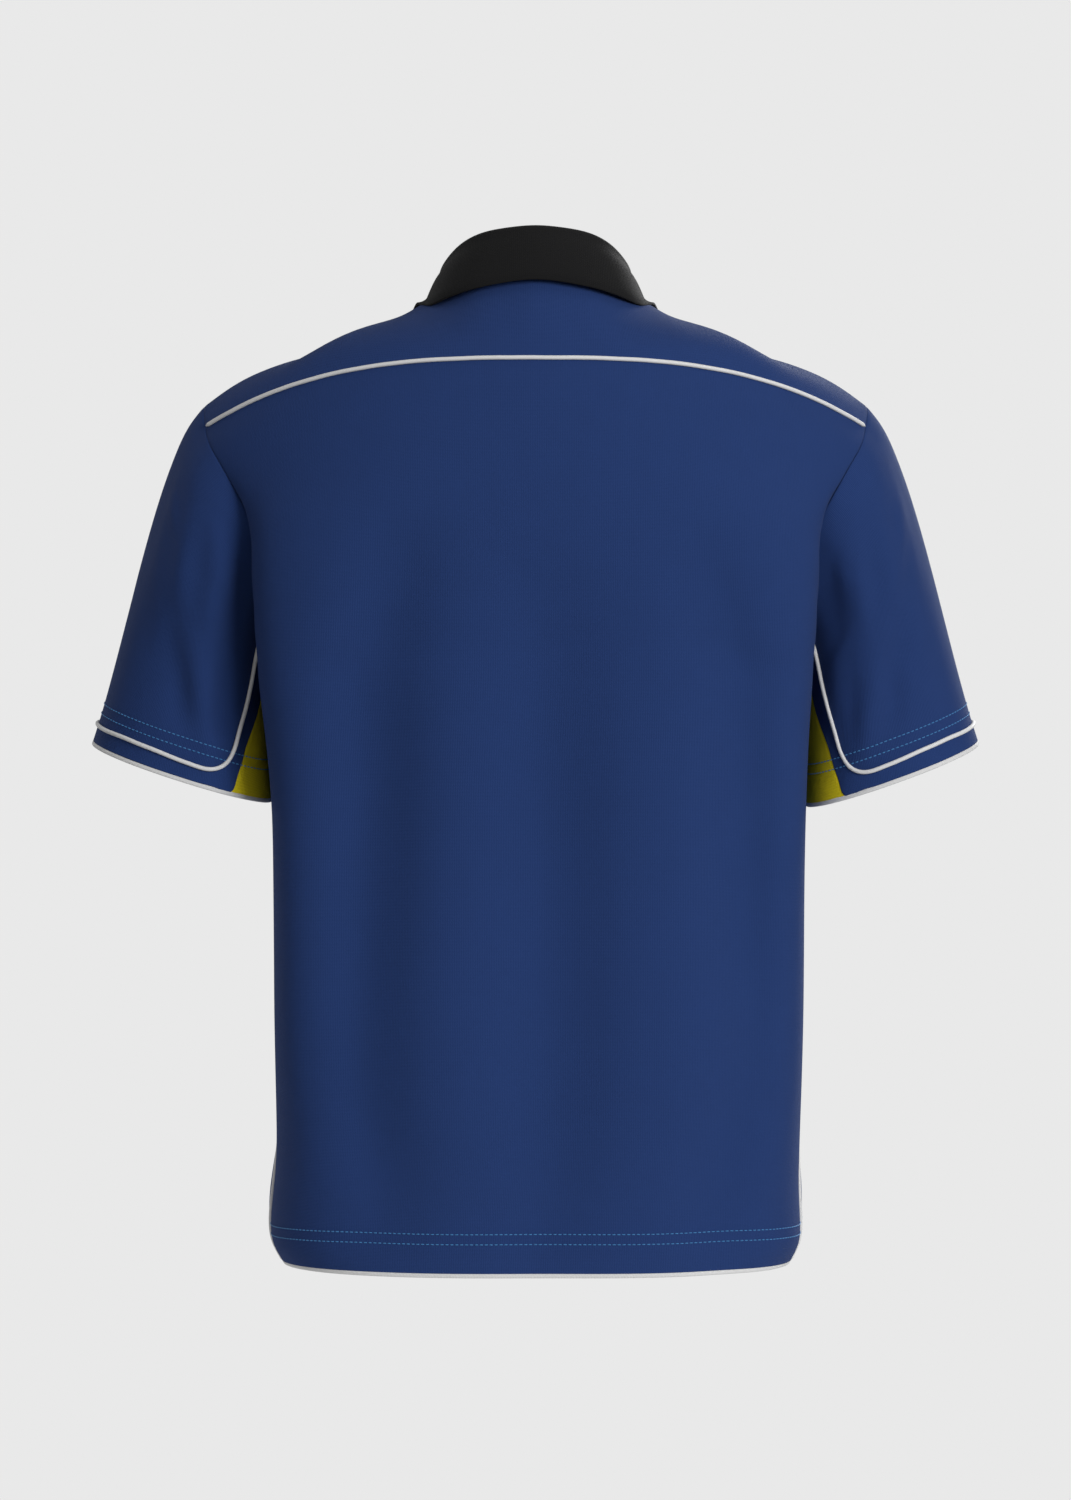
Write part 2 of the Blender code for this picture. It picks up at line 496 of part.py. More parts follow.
class Sleeve:
    """One sleeve as a surface, worked out for the left side and mirrored for the right.

    "place" runs round it from 0 at the top by the back to 0.5 underneath and on by the front to 1.
    "share" runs along it from 0 at the armhole to 1 at the cuff.
    """

    def __init__(self, ring, sign):
        self.ring = ring * (sign, 1.0, 1.0)
        self.sign = sign
        self.top = int(np.argmax(ring[:, 2]))
        self.under = int(np.argmin(ring[:, 2]))
        self.places = self.ring_places()
        sway = dict(zip(BODY_COLUMNS, BODY_ROWS[3]))["sway"] * sign
        outer = np.array((CUFF_OUTER[0], CUFF_CENTRE_Y, CUFF_OUTER[1]))
        inner_x, inner_z = CUFF_INNER[sign]
        inner = np.array((inner_x + sway, CUFF_CENTRE_Y, inner_z))
        self.cuff_centre = (outer + inner) / 2
        self.cuff_lateral = (outer - inner) / 2
        turn = np.linspace(0.0, 2 * math.pi, 721)
        steps = np.linalg.norm(np.diff(self.cuff_point(turn), axis=0), axis=1)
        self.cuff_turns = (np.concatenate(([0.0], np.cumsum(steps))) / steps.sum(), turn)

    def ring_places(self):
        """The place of each point of the armhole; the ring starts at the top."""
        loop = np.vstack([self.ring, self.ring[:1]])
        run = np.concatenate(([0.0], np.cumsum(np.linalg.norm(np.diff(loop, axis=0), axis=1))))
        half, whole = run[self.under], run[-1]
        first = 0.5 * run / half
        second = 0.5 + 0.5 * (run - half) / (whole - half)
        return np.where(run <= half, first, second)

    def cuff_point(self, turn):
        cosine, sine = np.cos(turn), np.sin(turn)
        power = 2 / CUFF_ROUND
        side = (np.sign(cosine) * np.abs(cosine) ** power)[:, None]
        depth = (np.sign(sine) * np.abs(sine) ** power)[:, None]
        return self.cuff_centre + side * self.cuff_lateral + depth * np.array(CUFF_BACK)

    def start_point(self, place):
        loop = np.vstack([self.ring, self.ring[:1]])
        return np.array([np.interp(place, self.places, loop[:, k]) for k in range(3)])

    def end_point(self, place):
        return self.cuff_point(np.array([np.interp(place, *self.cuff_turns)]))[0]

    def flow(self, place):
        """The directions in which the cloth leaves the armhole and reaches the cuff."""
        table = np.array(SLEEVE_FLOW)
        row = steady_curve(table[:, 0], table[:, 1:], min(place, 1 - place))[0]
        start_x, start_y, start_z, pull, end_x, end_z, push = row
        lean = start_y if place < 0.5 else -start_y
        start = unit(np.array((start_x, lean, start_z))) * pull
        return start, unit(np.array((end_x, 0.0, end_z))) * push

    def plain_point(self, place, share):
        place = place % 1.0
        begin, end = self.start_point(place), self.end_point(place)
        start, finish = self.flow(place)
        length = np.linalg.norm(end - begin)
        t = share
        return ((1 + 2 * t) * (1 - t) ** 2 * begin + t * (1 - t) ** 2 * length * start
                + t * t * (3 - 2 * t) * end + t * t * (t - 1) * length * finish)

    def normal(self, place, share):
        step = 0.006
        high, low = min(share + step, 1.0), max(share - step, 0.0)
        down = self.plain_point(place, high) - self.plain_point(place, low)
        around = self.plain_point(place + step, share) - self.plain_point(place - step, share)
        return unit(np.cross(down, around))

    def point(self, place, share, out=0.0):
        """A point of the surface with its folds, or a point that far outside it."""
        place = place % 1.0
        depth = 0.0
        for values in SLEEVE_FOLDS:
            fold = dict(zip(SLEEVE_FOLD_COLUMNS, values))
            off = (share - fold["along"]) / fold["reach"]
            if abs(off) < 1:
                middle = fold["place"] + fold["lean"] * (share - fold["along"])
                bell = math.cos(off * math.pi / 2) ** 2
                depth += fold["depth"] * bell * math.exp(-((place - middle) / fold["width"]) ** 2)
        return self.plain_point(place, share) + self.normal(place, share) * (depth + out)

    def surface(self, patch, out=0.0):
        """The points of a patch of (place, share) pairs, on this sleeve's own side."""
        rows, columns = patch.shape[:2]
        points = [self.point(p, s, out) for p, s in patch.reshape(-1, 2)]
        return np.array(points).reshape(rows, columns, 3) * (self.sign, 1.0, 1.0)


def smooth_line(table, shares):
    """Points on a smooth curve through a short table of (place, share) pairs."""
    table = np.array(table, float)
    steps = np.linalg.norm(np.diff(table, axis=0) * (ROUND_TO_ALONG, 1.0), axis=1)
    knots = np.concatenate(([0.0], np.cumsum(steps)))
    return steady_curve(knots, table, np.asarray(shares) * knots[-1])


def fill_patch(top, bottom, first, last):
    """A patch of points between four edges that share their corners."""
    u = np.linspace(0.0, 1.0, len(top))[None, :, None]
    v = np.linspace(0.0, 1.0, len(first))[:, None, None]
    across = (1 - v) * top[None] + v * bottom[None]
    along_sides = (1 - u) * first[:, None] + u * last[:, None]
    corners = ((1 - u) * (1 - v) * top[0] + u * (1 - v) * top[-1]
               + (1 - u) * v * bottom[0] + u * v * bottom[-1])
    return across + along_sides - corners


def flipped(line):
    """A line of (place, share) pairs on the front, from the same line on the back."""
    return np.asarray(line) * (-1.0, 1.0) + (1.0, 0.0)


def half_lines(top_count, armhole_places, front):
    """The piping's and the gusset's lines on one half of a sleeve, back or front.

    armhole_places gives where on the armhole the piping and the gusset start.
    """
    side = smooth_line(PIPING_SIDE, 1 - (1 - np.linspace(0, 1, SIDE_ROWS + 1)) ** LINE_CROWDING)
    cuff = smooth_line(PIPING_CUFF, np.linspace(0, 1, top_count + 1) ** CUFF_CROWDING)
    gusset = smooth_line(GUSSET_EDGE, np.linspace(0, 1, SIDE_ROWS + 1))
    lines = [side, cuff, gusset]
    if front:
        lines = [flipped(line) for line in lines]
    fade = np.linspace(1.0, 0.0, SIDE_ROWS + 1) ** 2
    for line, place in zip((lines[0], lines[2]), armhole_places):
        line[:, 0] += (place - line[0, 0]) * fade
    return lines


def sleeve_patches(sleeve):
    """Patches of (place, share) pairs: the main panel, the band and the gusset."""
    places = sleeve.places
    back_piping, back_gusset = sleeve.under - GUSSET_STEPS - BAND_STEPS, sleeve.under - GUSSET_STEPS
    front_gusset, front_piping = sleeve.under + GUSSET_STEPS, sleeve.under + GUSSET_STEPS + BAND_STEPS
    count = len(sleeve.ring)
    side_b, cuff_b, gusset_b = half_lines(back_piping, (places[back_piping], places[back_gusset]),
                                          False)
    side_f, cuff_f, gusset_f = half_lines(count - front_piping,
                                          (places[front_piping], places[front_gusset]), True)
    to_front = np.array((-1.0, 0.0))
    ring_top = np.concatenate([places[back_piping::-1], places[count - 1:front_piping - 1:-1] - 1])
    top = np.column_stack([ring_top, np.zeros(len(ring_top))])
    bottom = np.vstack([cuff_b, cuff_f[-2::-1] + to_front])
    main_patch = fill_patch(top, bottom, side_b, side_f + to_front)

    edge_b = np.column_stack([np.interp(np.linspace(0, 1, len(cuff_b)), (0, 1),
                                        (gusset_b[-1, 0], 0.0)), np.ones(len(cuff_b))])
    edge_f = np.column_stack([np.interp(np.linspace(0, 1, len(cuff_f)), (0, 1),
                                        (gusset_f[-1, 0], 1.0)), np.ones(len(cuff_f))])
    inner = np.vstack([side_b, cuff_b[1:], cuff_f[-2::-1] + to_front, side_f[-2::-1] + to_front])
    outer = np.vstack([gusset_b, edge_b[1:], edge_f[-2::-1] + to_front,
                       gusset_f[-2::-1] + to_front])
    start = np.column_stack([places[back_piping:back_gusset + 1], np.zeros(BAND_STEPS + 1)])
    end = np.column_stack([places[front_gusset:front_piping + 1][::-1] - 1,
                           np.zeros(BAND_STEPS + 1)])
    band_patch = fill_patch(inner, outer, start, end)

    across = np.interp(np.arange(7), (0, 3, 6),
                       (places[back_gusset], places[sleeve.under], places[front_gusset]))
    gusset_top = np.column_stack([across, np.zeros(7)])
    gusset_bottom = np.column_stack([np.linspace(gusset_b[-1, 0], gusset_f[-1, 0], 7), np.ones(7)])
    gusset_patch = fill_patch(gusset_top, gusset_bottom, gusset_b, gusset_f)
    return main_patch, band_patch, gusset_patch, inner


def armhole_ring(back, yoke, front, column):
    """The armhole's points from the top by the back to the underarm and up by the front."""
    middle = len(yoke) // 2
    return np.vstack([yoke[middle:0:-1, column], back[:UNDERARM_BACK_ROW + 1, column],
                      front[UNDERARM_FRONT_ROW - 1::-1, column], yoke[-2:middle:-1, column]])


def add_sleeve(side, sign, ring, cloths, collection):
    blue, white, yellow = cloths
    sleeve = Sleeve(ring, sign)
    main_patch, band_patch, gusset_patch, piping = sleeve_patches(sleeve)
    axis = (sleeve.cuff_centre + sleeve.ring.mean(axis=0)) / 2 * (sign, 1.0, 1.0)

    def outward(centre):
        away = Vector(centre) - Vector(axis)
        away.z *= 0.3
        return away

    panel = set_back(sleeve.surface(main_patch), top=SEAM_GAP, bottom=PIPED_GAP, first=PIPED_GAP,
                     last=PIPED_GAP)
    band = set_back(sleeve.surface(band_patch), top=PIPED_GAP, bottom=SEAM_GAP, first=SEAM_GAP,
                    last=SEAM_GAP)
    gusset = set_back(sleeve.surface(gusset_patch), top=SEAM_GAP, first=SEAM_GAP, last=SEAM_GAP)
    add_sheet("sleeve_top_" + side, panel, outward, WALL, -1.0, blue, collection)
    add_sheet("sleeve_band_" + side, band, outward, WALL, -1.0, blue, collection)
    add_sheet("sleeve_gusset_" + side, gusset, outward, WALL, -1.0, yellow, collection)
    piping = piping[PIPING_START:len(piping) - PIPING_START]
    cord = sleeve.surface(piping[None], PIPING_RADIUS + SEAM_GAP)[0]
    add_piping("sleeve_piping_" + side, cord, PIPING_RADIUS, white, collection)

    places = np.linspace(0.0, 1.0, CUFF_COLUMNS, endpoint=False)
    edge = sleeve.surface(np.array([[(p, CUFF_EDGE_SHARE), (p, 1.0)] for p in places]))
    add_edging("cuff_edging_" + side, edge[:, 0], edge[:, 1], white, collection,
               away_from(sleeve.cuff_centre * (sign, 1.0, 1.0)))


def add_edging(name, above, edge, surface, collection, outward):
    """The edging under a hem: a closed strip that carries on from the edge of the cloth."""
    down = unit(edge - above)
    strip = np.array([edge + down * SEAM_GAP, edge + down * (SEAM_GAP + EDGING_HEIGHT)])
    return add_sheet(name, strip, outward, WALL, -1.0, surface, collection, closed=True)


def tree_of(grids):
    """A search tree of the outer faces of some grids, for seating what lies on them."""
    points, faces = [], []
    for grid in grids:
        rows, columns = grid.shape[:2]
        start = len(points)
        points += [Vector(p) for p in grid.reshape(-1, 3)]
        for r in range(rows - 1):
            for c in range(columns - 1):
                a = start + r * columns + c
                faces.append((a, a + columns, a + columns + 1, a + 1))
    return BVHTree.FromPolygons(points, faces)


def shortfall(point, tree, clear, inside):
    """How far a point must be moved to lie that far outside the cloth, as a vector."""
    spot, normal, _, _ = tree.find_nearest(Vector(point))
    if normal.dot(spot - inside) < 0:
        normal = -normal
    lack = clear - (Vector(point) - spot).dot(normal)
    return np.array(normal) * max(lack, 0.0)


def collar_section(base, fold, edge):
    """One section of the collar: up the stand, over the fold and down the fall."""
    out = unit(np.array((edge[0] - base[0], edge[1] - base[1], 0.0)))
    up = np.array((0.0, 0.0, 1.0))
    roll = fold - up * COLLAR_ROLL
    stand_top, fall_top = roll - out * COLLAR_ROLL, roll + out * COLLAR_ROLL
    foot = base + unit(stand_top - base) * COLLAR_FOOT
    arc = [roll + (up * math.sin(a) - out * math.cos(a)) * COLLAR_ROLL
           for a in np.radians((45.0, 90.0, 135.0))]
    fall = [fall_top + (edge - fall_top) * t + out * COLLAR_CROWN * math.sin(math.pi * t)
            for t in (0.25, 0.5, 0.75, 1.0)]
    return [foot, (foot + stand_top) / 2, stand_top, *arc, fall_top, *fall]


def collar_grid(tree):
    table = np.array(COLLAR_ROWS)
    front = np.linspace(NECK_CORNER_ANGLE, table[-1, 0], NECK_COLUMNS + 1)[1:]
    angles = np.concatenate([neck_angles_back(), front])
    bases = neck_point(angles)
    lines = mirrored_curve(table, angles)
    sections = [collar_section(base, line[:3], line[3:]) for base, line in zip(bases, lines)]
    half = np.array(sections).transpose(1, 0, 2)
    fall = half[-5:]
    inside = Vector((0.0, 0.0, -60.0))
    for _ in range(COLLAR_PASSES):
        for r in range(1, len(fall)):
            for c in range(fall.shape[1]):
                fall[r, c] += shortfall(fall[r, c], tree, COLLAR_CLEAR, inside)
        for r in range(1, len(fall)):
            for c in range(1, fall.shape[1]):
                corners = fall[r - 1:r + 1, c - 1:c + 1]
                lift = shortfall(corners.mean(axis=(0, 1)), tree, COLLAR_CLEAR, inside)
                fall[r, c - 1:c + 1] += lift
    return np.concatenate([half[:, :0:-1] * (-1.0, 1.0, 1.0), half], axis=1)


def placket_grid(front):
    """The placket's own points: the middle of the front panel, moved out."""
    middle = HALF_COLUMNS
    column = front[:PLACKET_ROWS + 1, middle]
    beside = front[:PLACKET_ROWS + 1, middle + 1]
    across = PLACKET_HALF_WIDTH / beside[:, 0]
    share = across[:, None] * np.linspace(-1.0, 1.0, 5)[None, :]
    mirror = np.where(share < 0, -1.0, 1.0)[:, :, None] * np.array((1.0, 0.0, 0.0))
    mirror = mirror + np.array((0.0, 1.0, 1.0))
    share = np.abs(share)[:, :, None]
    grid = (column[:, None] * (1 - share) + beside[:, None] * share) * mirror
    grid[0] = grid[0] + (grid[1] - grid[0]) * PLACKET_TOP_SHARE
    normals = grid_normals(grid)
    normals *= np.sign(-normals[:, :, 1:2])
    return grid + normals * PLACKET_LIFT, normals


def add_button(name, place, normal, surface, collection):
    mesh = bmesh.new()
    bmesh.ops.create_cone(mesh, cap_ends=True, segments=20, radius1=BUTTON_RADIUS * MM,
                          radius2=BUTTON_RADIUS * MM, depth=BUTTON_HEIGHT * MM)
    data = bpy.data.meshes.new(name)
    mesh.to_mesh(data)
    mesh.free()
    button = add_object(name, data, surface, collection)
    button.location = Vector(place) * MM
    button.rotation_mode = "QUATERNION"
    button.rotation_quaternion = Vector(normal).to_track_quat("Z", "Y")
    rim = button.modifiers.new("rim", "BEVEL")
    rim.width = BUTTON_HEIGHT * 0.3 * MM
    rim.segments = 1
    rim.limit_method = "ANGLE"
    return button


def add_placket(front, blue, horn, collection):
    grid, normals = placket_grid(front)
    add_sheet("front_placket", grid, lambda centre: Vector((0.0, -1.0, 0.0)), PLACKET_WALL, 1.0,
              blue, collection)
    line, facing = grid[:, 2], normals[:, 2]
    lift = PLACKET_WALL + BUTTON_LIFT + BUTTON_HEIGHT / 2
    run = np.concatenate(([0.0], np.cumsum(np.linalg.norm(np.diff(line, axis=0), axis=1))))
    for number, share in enumerate(BUTTON_PLACES, 1):
        spot = along(line, [share])[0]
        direction = unit(np.array([np.interp(share * run[-1], run, facing[:, k])
                                   for k in range(3)]))
        add_button(f"button_{number}", spot + direction * lift, direction, horn, collection)
    return grid + normals * PLACKET_WALL


def seam_cord(points, normals):
    """A line of points moved out from a seam so that a piping lies on the cloth."""
    return points + normals * (PIPING_RADIUS + SEAM_GAP)


def facing_out(normals, points, centre=(0.0, 0.0)):
    away = points[..., :2] - np.array(centre)
    signs = np.sign((normals[..., :2] * away).sum(axis=-1, keepdims=True))
    return normals * signs


def add_yoke_piping(back, yoke, white, collection):
    seam = back[0]
    normals = facing_out(grid_normals(back)[0], seam) + facing_out(grid_normals(yoke)[0], seam)
    cord = seam_cord(seam, unit(normals))
    cord[0] += unit(cord[1] - cord[0]) * PIPING_RADIUS
    cord[-1] += unit(cord[-2] - cord[-1]) * PIPING_RADIUS
    add_piping("yoke_piping", cord, PIPING_RADIUS, white, collection)


def add_side_piping(side, column, back, front, white, collection):
    back_edge = back[UNDERARM_BACK_ROW:, column]
    both = (facing_out(grid_normals(back)[UNDERARM_BACK_ROW:, column], back_edge)
            + facing_out(grid_normals(front)[UNDERARM_FRONT_ROW:, column], back_edge))
    cord = seam_cord(back_edge, unit(both))[SIDE_PIPING_START:]
    add_piping("side_piping_" + side, cord, PIPING_RADIUS, white, collection)


def add_hem_edging(back, front, white, collection):
    loop = np.vstack([back[-1], front[-1, -2:0:-1]])
    above = np.vstack([back[-2], front[-2, -2:0:-1]])
    add_edging("hem_edging", above, loop, white, collection, away_from((0.0, 0.0, 0.0)))


def main():
    for thing in list(bpy.data.objects):
        bpy.data.objects.remove(thing, do_unlink=True)
    shirt = bpy.data.collections.new("polo_shirt")
    bpy.context.scene.collection.children.link(shirt)
    blue = material("blue_knit", BLUE, 0.85)
    black = material("black_rib", BLACK, 0.9)
    white = material("white_piping", WHITE, 0.6)
    yellow = material("yellow_knit", YELLOW, 0.85)
    horn = material("black_button", BUTTON_COLOUR, 0.35)
    outward = away_from((0.0, 0.0, 0.0))

    back = back_grid()
    yoke = yoke_grid(back)
    front = front_grid(yoke)
    side_gaps = {"first": SEAM_GAP, "last": SEAM_GAP}
    add_sheet("back_body", set_back(back, top=PIPED_GAP, **side_gaps), outward, WALL, -1.0,
              blue, shirt)
    add_sheet("back_yoke", set_back(yoke, top=PIPED_GAP, bottom=SEAM_GAP, **side_gaps),
              lambda centre: Vector((0.0, 0.0, 1.0)), WALL, -1.0, blue, shirt)
    add_sheet("front_body", set_back(front, top=SEAM_GAP, **side_gaps), outward, WALL, -1.0,
              blue, shirt)
    placket = add_placket(front, blue, horn, shirt)
    collar = collar_grid(tree_of((back, yoke, front, placket)))
    add_sheet("collar", collar, lambda centre: Vector((0.0, 0.0, 1.0)), COLLAR_WALL, 0.0,
              black, shirt)
    add_yoke_piping(back, yoke, white, shirt)
    add_hem_edging(back, front, white, shirt)
    for side, sign in SIDES:
        column = -1 if sign > 0 else 0
        ring = armhole_ring(back, yoke, front, column)
        add_sleeve(side, sign, ring, (blue, white, yellow), shirt)
        add_side_piping(side, column, back, front, white, shirt)


main()
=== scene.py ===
"""The looks of the polo shirt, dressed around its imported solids, seen from behind.

The lofts below repeat the solids' own tables and rules in millimetres, so that each shell lies on
its solid's form. They are then made finer and get creases, seams, knit, piping and stitching.
"""
import math

import bmesh
import bpy
import numpy as np
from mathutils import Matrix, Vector
from mathutils.bvhtree import BVHTree


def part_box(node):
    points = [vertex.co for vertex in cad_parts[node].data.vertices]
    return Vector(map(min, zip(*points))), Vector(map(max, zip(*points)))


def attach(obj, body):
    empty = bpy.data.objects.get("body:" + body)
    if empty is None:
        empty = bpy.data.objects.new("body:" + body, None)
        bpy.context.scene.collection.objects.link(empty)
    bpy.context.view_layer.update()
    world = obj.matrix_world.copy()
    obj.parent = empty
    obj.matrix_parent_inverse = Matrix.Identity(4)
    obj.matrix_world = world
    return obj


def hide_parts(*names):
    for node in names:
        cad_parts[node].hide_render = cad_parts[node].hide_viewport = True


MM = 0.001

# Driving sizes
WALL = 1.0                  # thickness of the body and sleeve cloth
COLLAR_WALL = 1.8           # the collar is a thicker knit
PIPING_RADIUS = 1.6
EDGING_HEIGHT = 3.2         # the white edging under the hem and the cuffs
PLAN_POINTS = 200           # points of a section's curve, of its turn in and of the shoulder seam
TAIL_POINTS = 40
SEAM_POINTS = 60
HALF_COLUMNS = 14           # columns of cloth from the middle of a panel to its side
NECK_COLUMNS = 7            # of those, the ones that end on the neckline
COLUMN_CROWDING = 1.3       # over 1 sets the columns closer together towards the sides
YOKE_DROP_POWER = 3.0       # how late the yoke seam turns down towards the armhole
NECK_CORNER_ANGLE = 112.0   # where the front shoulder seam meets the neckline, from the back

# Back panel above the underarm, from the yoke seam down. "fold" is the widest point of a
# section, past which the cloth turns in to the armhole seam. "round" is the curve's power and
# "turn" how much of its quarter circle it runs through before that point.
# Columns: centre_y, centre_z, fold_x, fold_y, seam_x, seam_y, seam_z, round, turn.
BACK_ROWS = (
    (110.0, -61.0, 248.5, 25.0, 248.5, 25.0, -107.5, 1.85, 62.0),
    (117.5, -82.0, 244.5, 41.0, 244.5, 41.0, -121.0, 1.95, 62.0),
    (123.0, -103.0, 236.5, 53.0, 236.5, 53.0, -135.0, 2.05, 64.0),
    (127.0, -125.0, 228.0, 61.0, 227.8, 60.5, -150.0, 2.15, 70.0),
    (129.5, -147.0, 220.0, 66.0, 219.2, 63.5, -165.0, 2.25, 80.0),
    (131.0, -169.0, 214.0, 68.0, 212.0, 62.0, -180.0, 2.4, 88.0),
    (131.5, -196.0, 211.3, 68.0, 206.0, 55.0, -202.0, 2.6, 90.0),
    (130.5, -224.0, 210.4, 66.0, 202.0, 44.0, -227.0, 2.8, 90.0),
    (129.0, -251.0, 209.3, 62.0, 199.0, 29.0, -252.0, 3.0, 90.0),
    (127.0, -274.0, 208.0, 57.0, 197.2, 13.0, -274.0, 3.2, 90.0),
)
# Front panel above the underarm, from the chest level where the armhole is deepest, with the same
# columns but the last. Above it the panel rises from the points given for its middle and its side.
FRONT_ROWS = (
    (-131.0, -165.0, 216.0, -76.0, 216.0, -76.0, -165.0, 2.1),
    (-137.0, -190.0, 211.0, -77.0, 208.5, -72.0, -190.0, 2.3),
    (-140.5, -220.0, 209.0, -75.0, 203.5, -61.0, -220.0, 2.45),
    (-142.0, -249.0, 208.0, -71.0, 199.5, -45.0, -249.0, 2.55),
    (-142.5, -274.0, 207.0, -66.0, 197.2, -23.0, -274.0, 2.6),
)
FRONT_MIDDLE = ((0.0, -113.0, -100.0), (0.0, -125.0, -132.0))
FRONT_ARMHOLE = ((245.5, -49.0, -119.0), (233.0, -67.0, -140.0))
FRONT_FULLNESS = (7.0, 15.0)        # how far the chest bows out at its middle, and more beside it
FRONT_FULL_WAY = (0.0, -0.75, 0.66)
FRONT_FULL_POWERS = (1.5, 0.7)      # of the swell beside the middle, and of its fading at its ends
# The tube of the body from the underarm to the hem, front and back alike.
BODY_COLUMNS = ("z", "seam_x", "seam_y", "back_y", "back_fold_x", "back_fold_y", "back_round",
                "front_y", "front_fold_x", "front_fold_y", "front_round", "sway")
BODY_ROWS = (
    (-292.0, 196.2, -5.0, 126.0, 206.8, 53.0, 3.3, -142.5, 206.0, -61.0, 2.6, 0.0),
    (-316.0, 196.6, -12.0, 124.5, 205.0, 49.0, 3.4, -142.5, 204.5, -58.0, 2.6, -0.5),
    (-345.0, 197.0, -18.0, 122.5, 202.6, 45.0, 3.5, -142.0, 203.0, -58.0, 2.6, -1.4),
    (-390.0, 196.0, -24.0, 121.0, 199.9, 42.0, 3.6, -141.0, 201.0, -60.0, 2.6, -2.5),
    (-440.0, 194.6, -30.0, 120.5, 199.0, 32.0, 3.7, -140.0, 199.6, -66.0, 2.6, -2.6),
    (-500.0, 193.8, -36.0, 122.0, 198.9, 20.0, 3.7, -139.0, 199.0, -70.0, 2.6, -2.6),
    (-570.0, 193.4, -38.0, 125.0, 198.3, 14.0, 3.6, -138.0, 198.6, -72.0, 2.6, -2.5),
    (-625.0, 194.6, -22.0, 127.5, 197.2, 8.0, 3.3, -137.5, 197.8, -70.0, 2.6, -2.2),
    (-656.0, 196.0, 0.0, 128.5, 196.6, 14.0, 3.2, -137.0, 199.8, -44.0, 2.55, -1.6),
    (-683.0, 197.6, 12.0, 129.2, 197.7, 14.0, 3.1, -137.0, 202.4, -30.0, 2.5, -0.4),
    (-706.0, 198.9, 12.0, 129.5, 199.0, 14.0, 3.0, -137.0, 202.8, -28.0, 2.45, 0.0),
    (-722.0, 197.4, 10.0, 129.5, 197.5, 12.0, 3.0, -136.5, 200.2, -28.0, 2.4, -0.4),
    (-734.6, 191.6, 8.0, 129.5, 191.7, 10.0, 3.0, -136.0, 193.0, -28.0, 2.4, -0.8),
)
HEM_RISE = 2.3              # the hem hangs this much higher at the sides than in the middle
HEM_RISE_TOP = -690.0       # where that rise sets in, and the height over which it is reached
HEM_RISE_SPAN = 45.0

# The neckline. Columns: angle round the neck from the middle of the back, x, y, z.
NECK_RING = (
    (0.0, 0.0, 76.0, 4.0),
    (30.0, 37.0, 66.0, 2.0),
    (60.0, 62.0, 39.0, -3.5),
    (90.0, 72.5, 2.0, -10.5),
    (112.0, 69.5, -31.0, -24.0),
    (140.0, 48.0, -69.0, -50.0),
    (160.0, 25.0, -89.0, -67.0),
    (180.0, 0.0, -96.0, -74.0),
)
# The front shoulder seam, from the neckline to the armhole.
FRONT_SEAM = ((69.5, -31.0, -24.0), (158.0, -42.0, -56.0), (249.5, -24.0, -104.0))
# The top of the shoulder, under the yoke's middle, from the middle of the back outwards.
YOKE_MIDDLE = (
    (0.0, 96.5, -27.0), (42.0, 90.0, -28.0), (76.0, 66.0, -27.0), (98.0, 41.0, -25.5),
    (112.0, 14.0, -28.0), (149.0, 4.0, -48.0), (188.0, 1.0, -57.0), (222.0, 0.0, -70.5),
    (250.8, 0.0, -90.0),
)
YOKE_ROWS = 8               # from the back seam over the shoulder
YOKE_REACH = 0.6            # how far the back's slope carries on into the yoke
FRONT_FLOW = 0.7            # how much of the yoke's slope carries on into the front panel

# Broad soft folds of the body. "turn" runs from -1 at the right side seam to 1 at the left one,
# and the folds die out within the last stretch of it before a seam. Columns: panel, turn, lean,
# top_z, bottom_z, width, depth.
FOLD_END_TURN = 0.08
FOLD_END_POWER = 0.8        # how soon a fold dies out towards its top and its foot
BODY_FOLDS = (
    ("back", 0.32, 0.03, -165.0, -738.0, 0.105, -19.0),
    ("back", -0.41, 0.00, -180.0, -750.0, 0.100, -17.0),
    ("back", -0.02, 0.00, -200.0, -755.0, 0.100, -14.0),
    ("front", 0.42, -0.04, -300.0, -690.0, 0.080, -4.5),
    ("front", -0.34, 0.05, -360.0, -700.0, 0.075, -4.5),
    ("front", -0.64, 0.02, -330.0, -680.0, 0.085, 3.0),
    ("front", 0.66, 0.00, -420.0, -700.0, 0.080, 3.5),
)

# Sleeve
CUFF_OUTER = (334.8, -342.0)        # x and z of the cuff's outer end
CUFF_INNER = {1.0: (202.0, -385.5), -1.0: (202.0, -389.0)}      # by the side's sign
CUFF_CENTRE_Y = -3.0
CUFF_BACK = (0.0, 58.0, -6.0)       # from the cuff's middle to its back
CUFF_ROUND = 2.15
CUFF_SAMPLES = 721          # points by which its length is measured
LINE_CROWDING = 1.4         # over 1 sets the rows of a sleeve closer together towards the cuff
CUFF_CROWDING = 1.3         # and the points of its cuff line closer together at the corner
SIDE_ROWS = 11              # rows of the sleeve panels from the armhole to the piping's turn
UNDERARM_BACK_ROW = 10      # the row of the back panel that reaches the underarm
UNDERARM_FRONT_ROW = 11
GUSSET_COLUMNS = 6
SLEEVE_STEP = 0.006         # place and share over which a sleeve's normal is taken
CUFF_BODY_ROW = 3           # the row of the body whose sway the cuffs follow
GUSSET_STEPS = 1            # armhole points from the underarm to the gusset's edge
BAND_STEPS = 1              # armhole points from there to the piping
PIPING_START = 1            # points of the piping's line left free at the armhole
SIDE_PIPING_START = 2
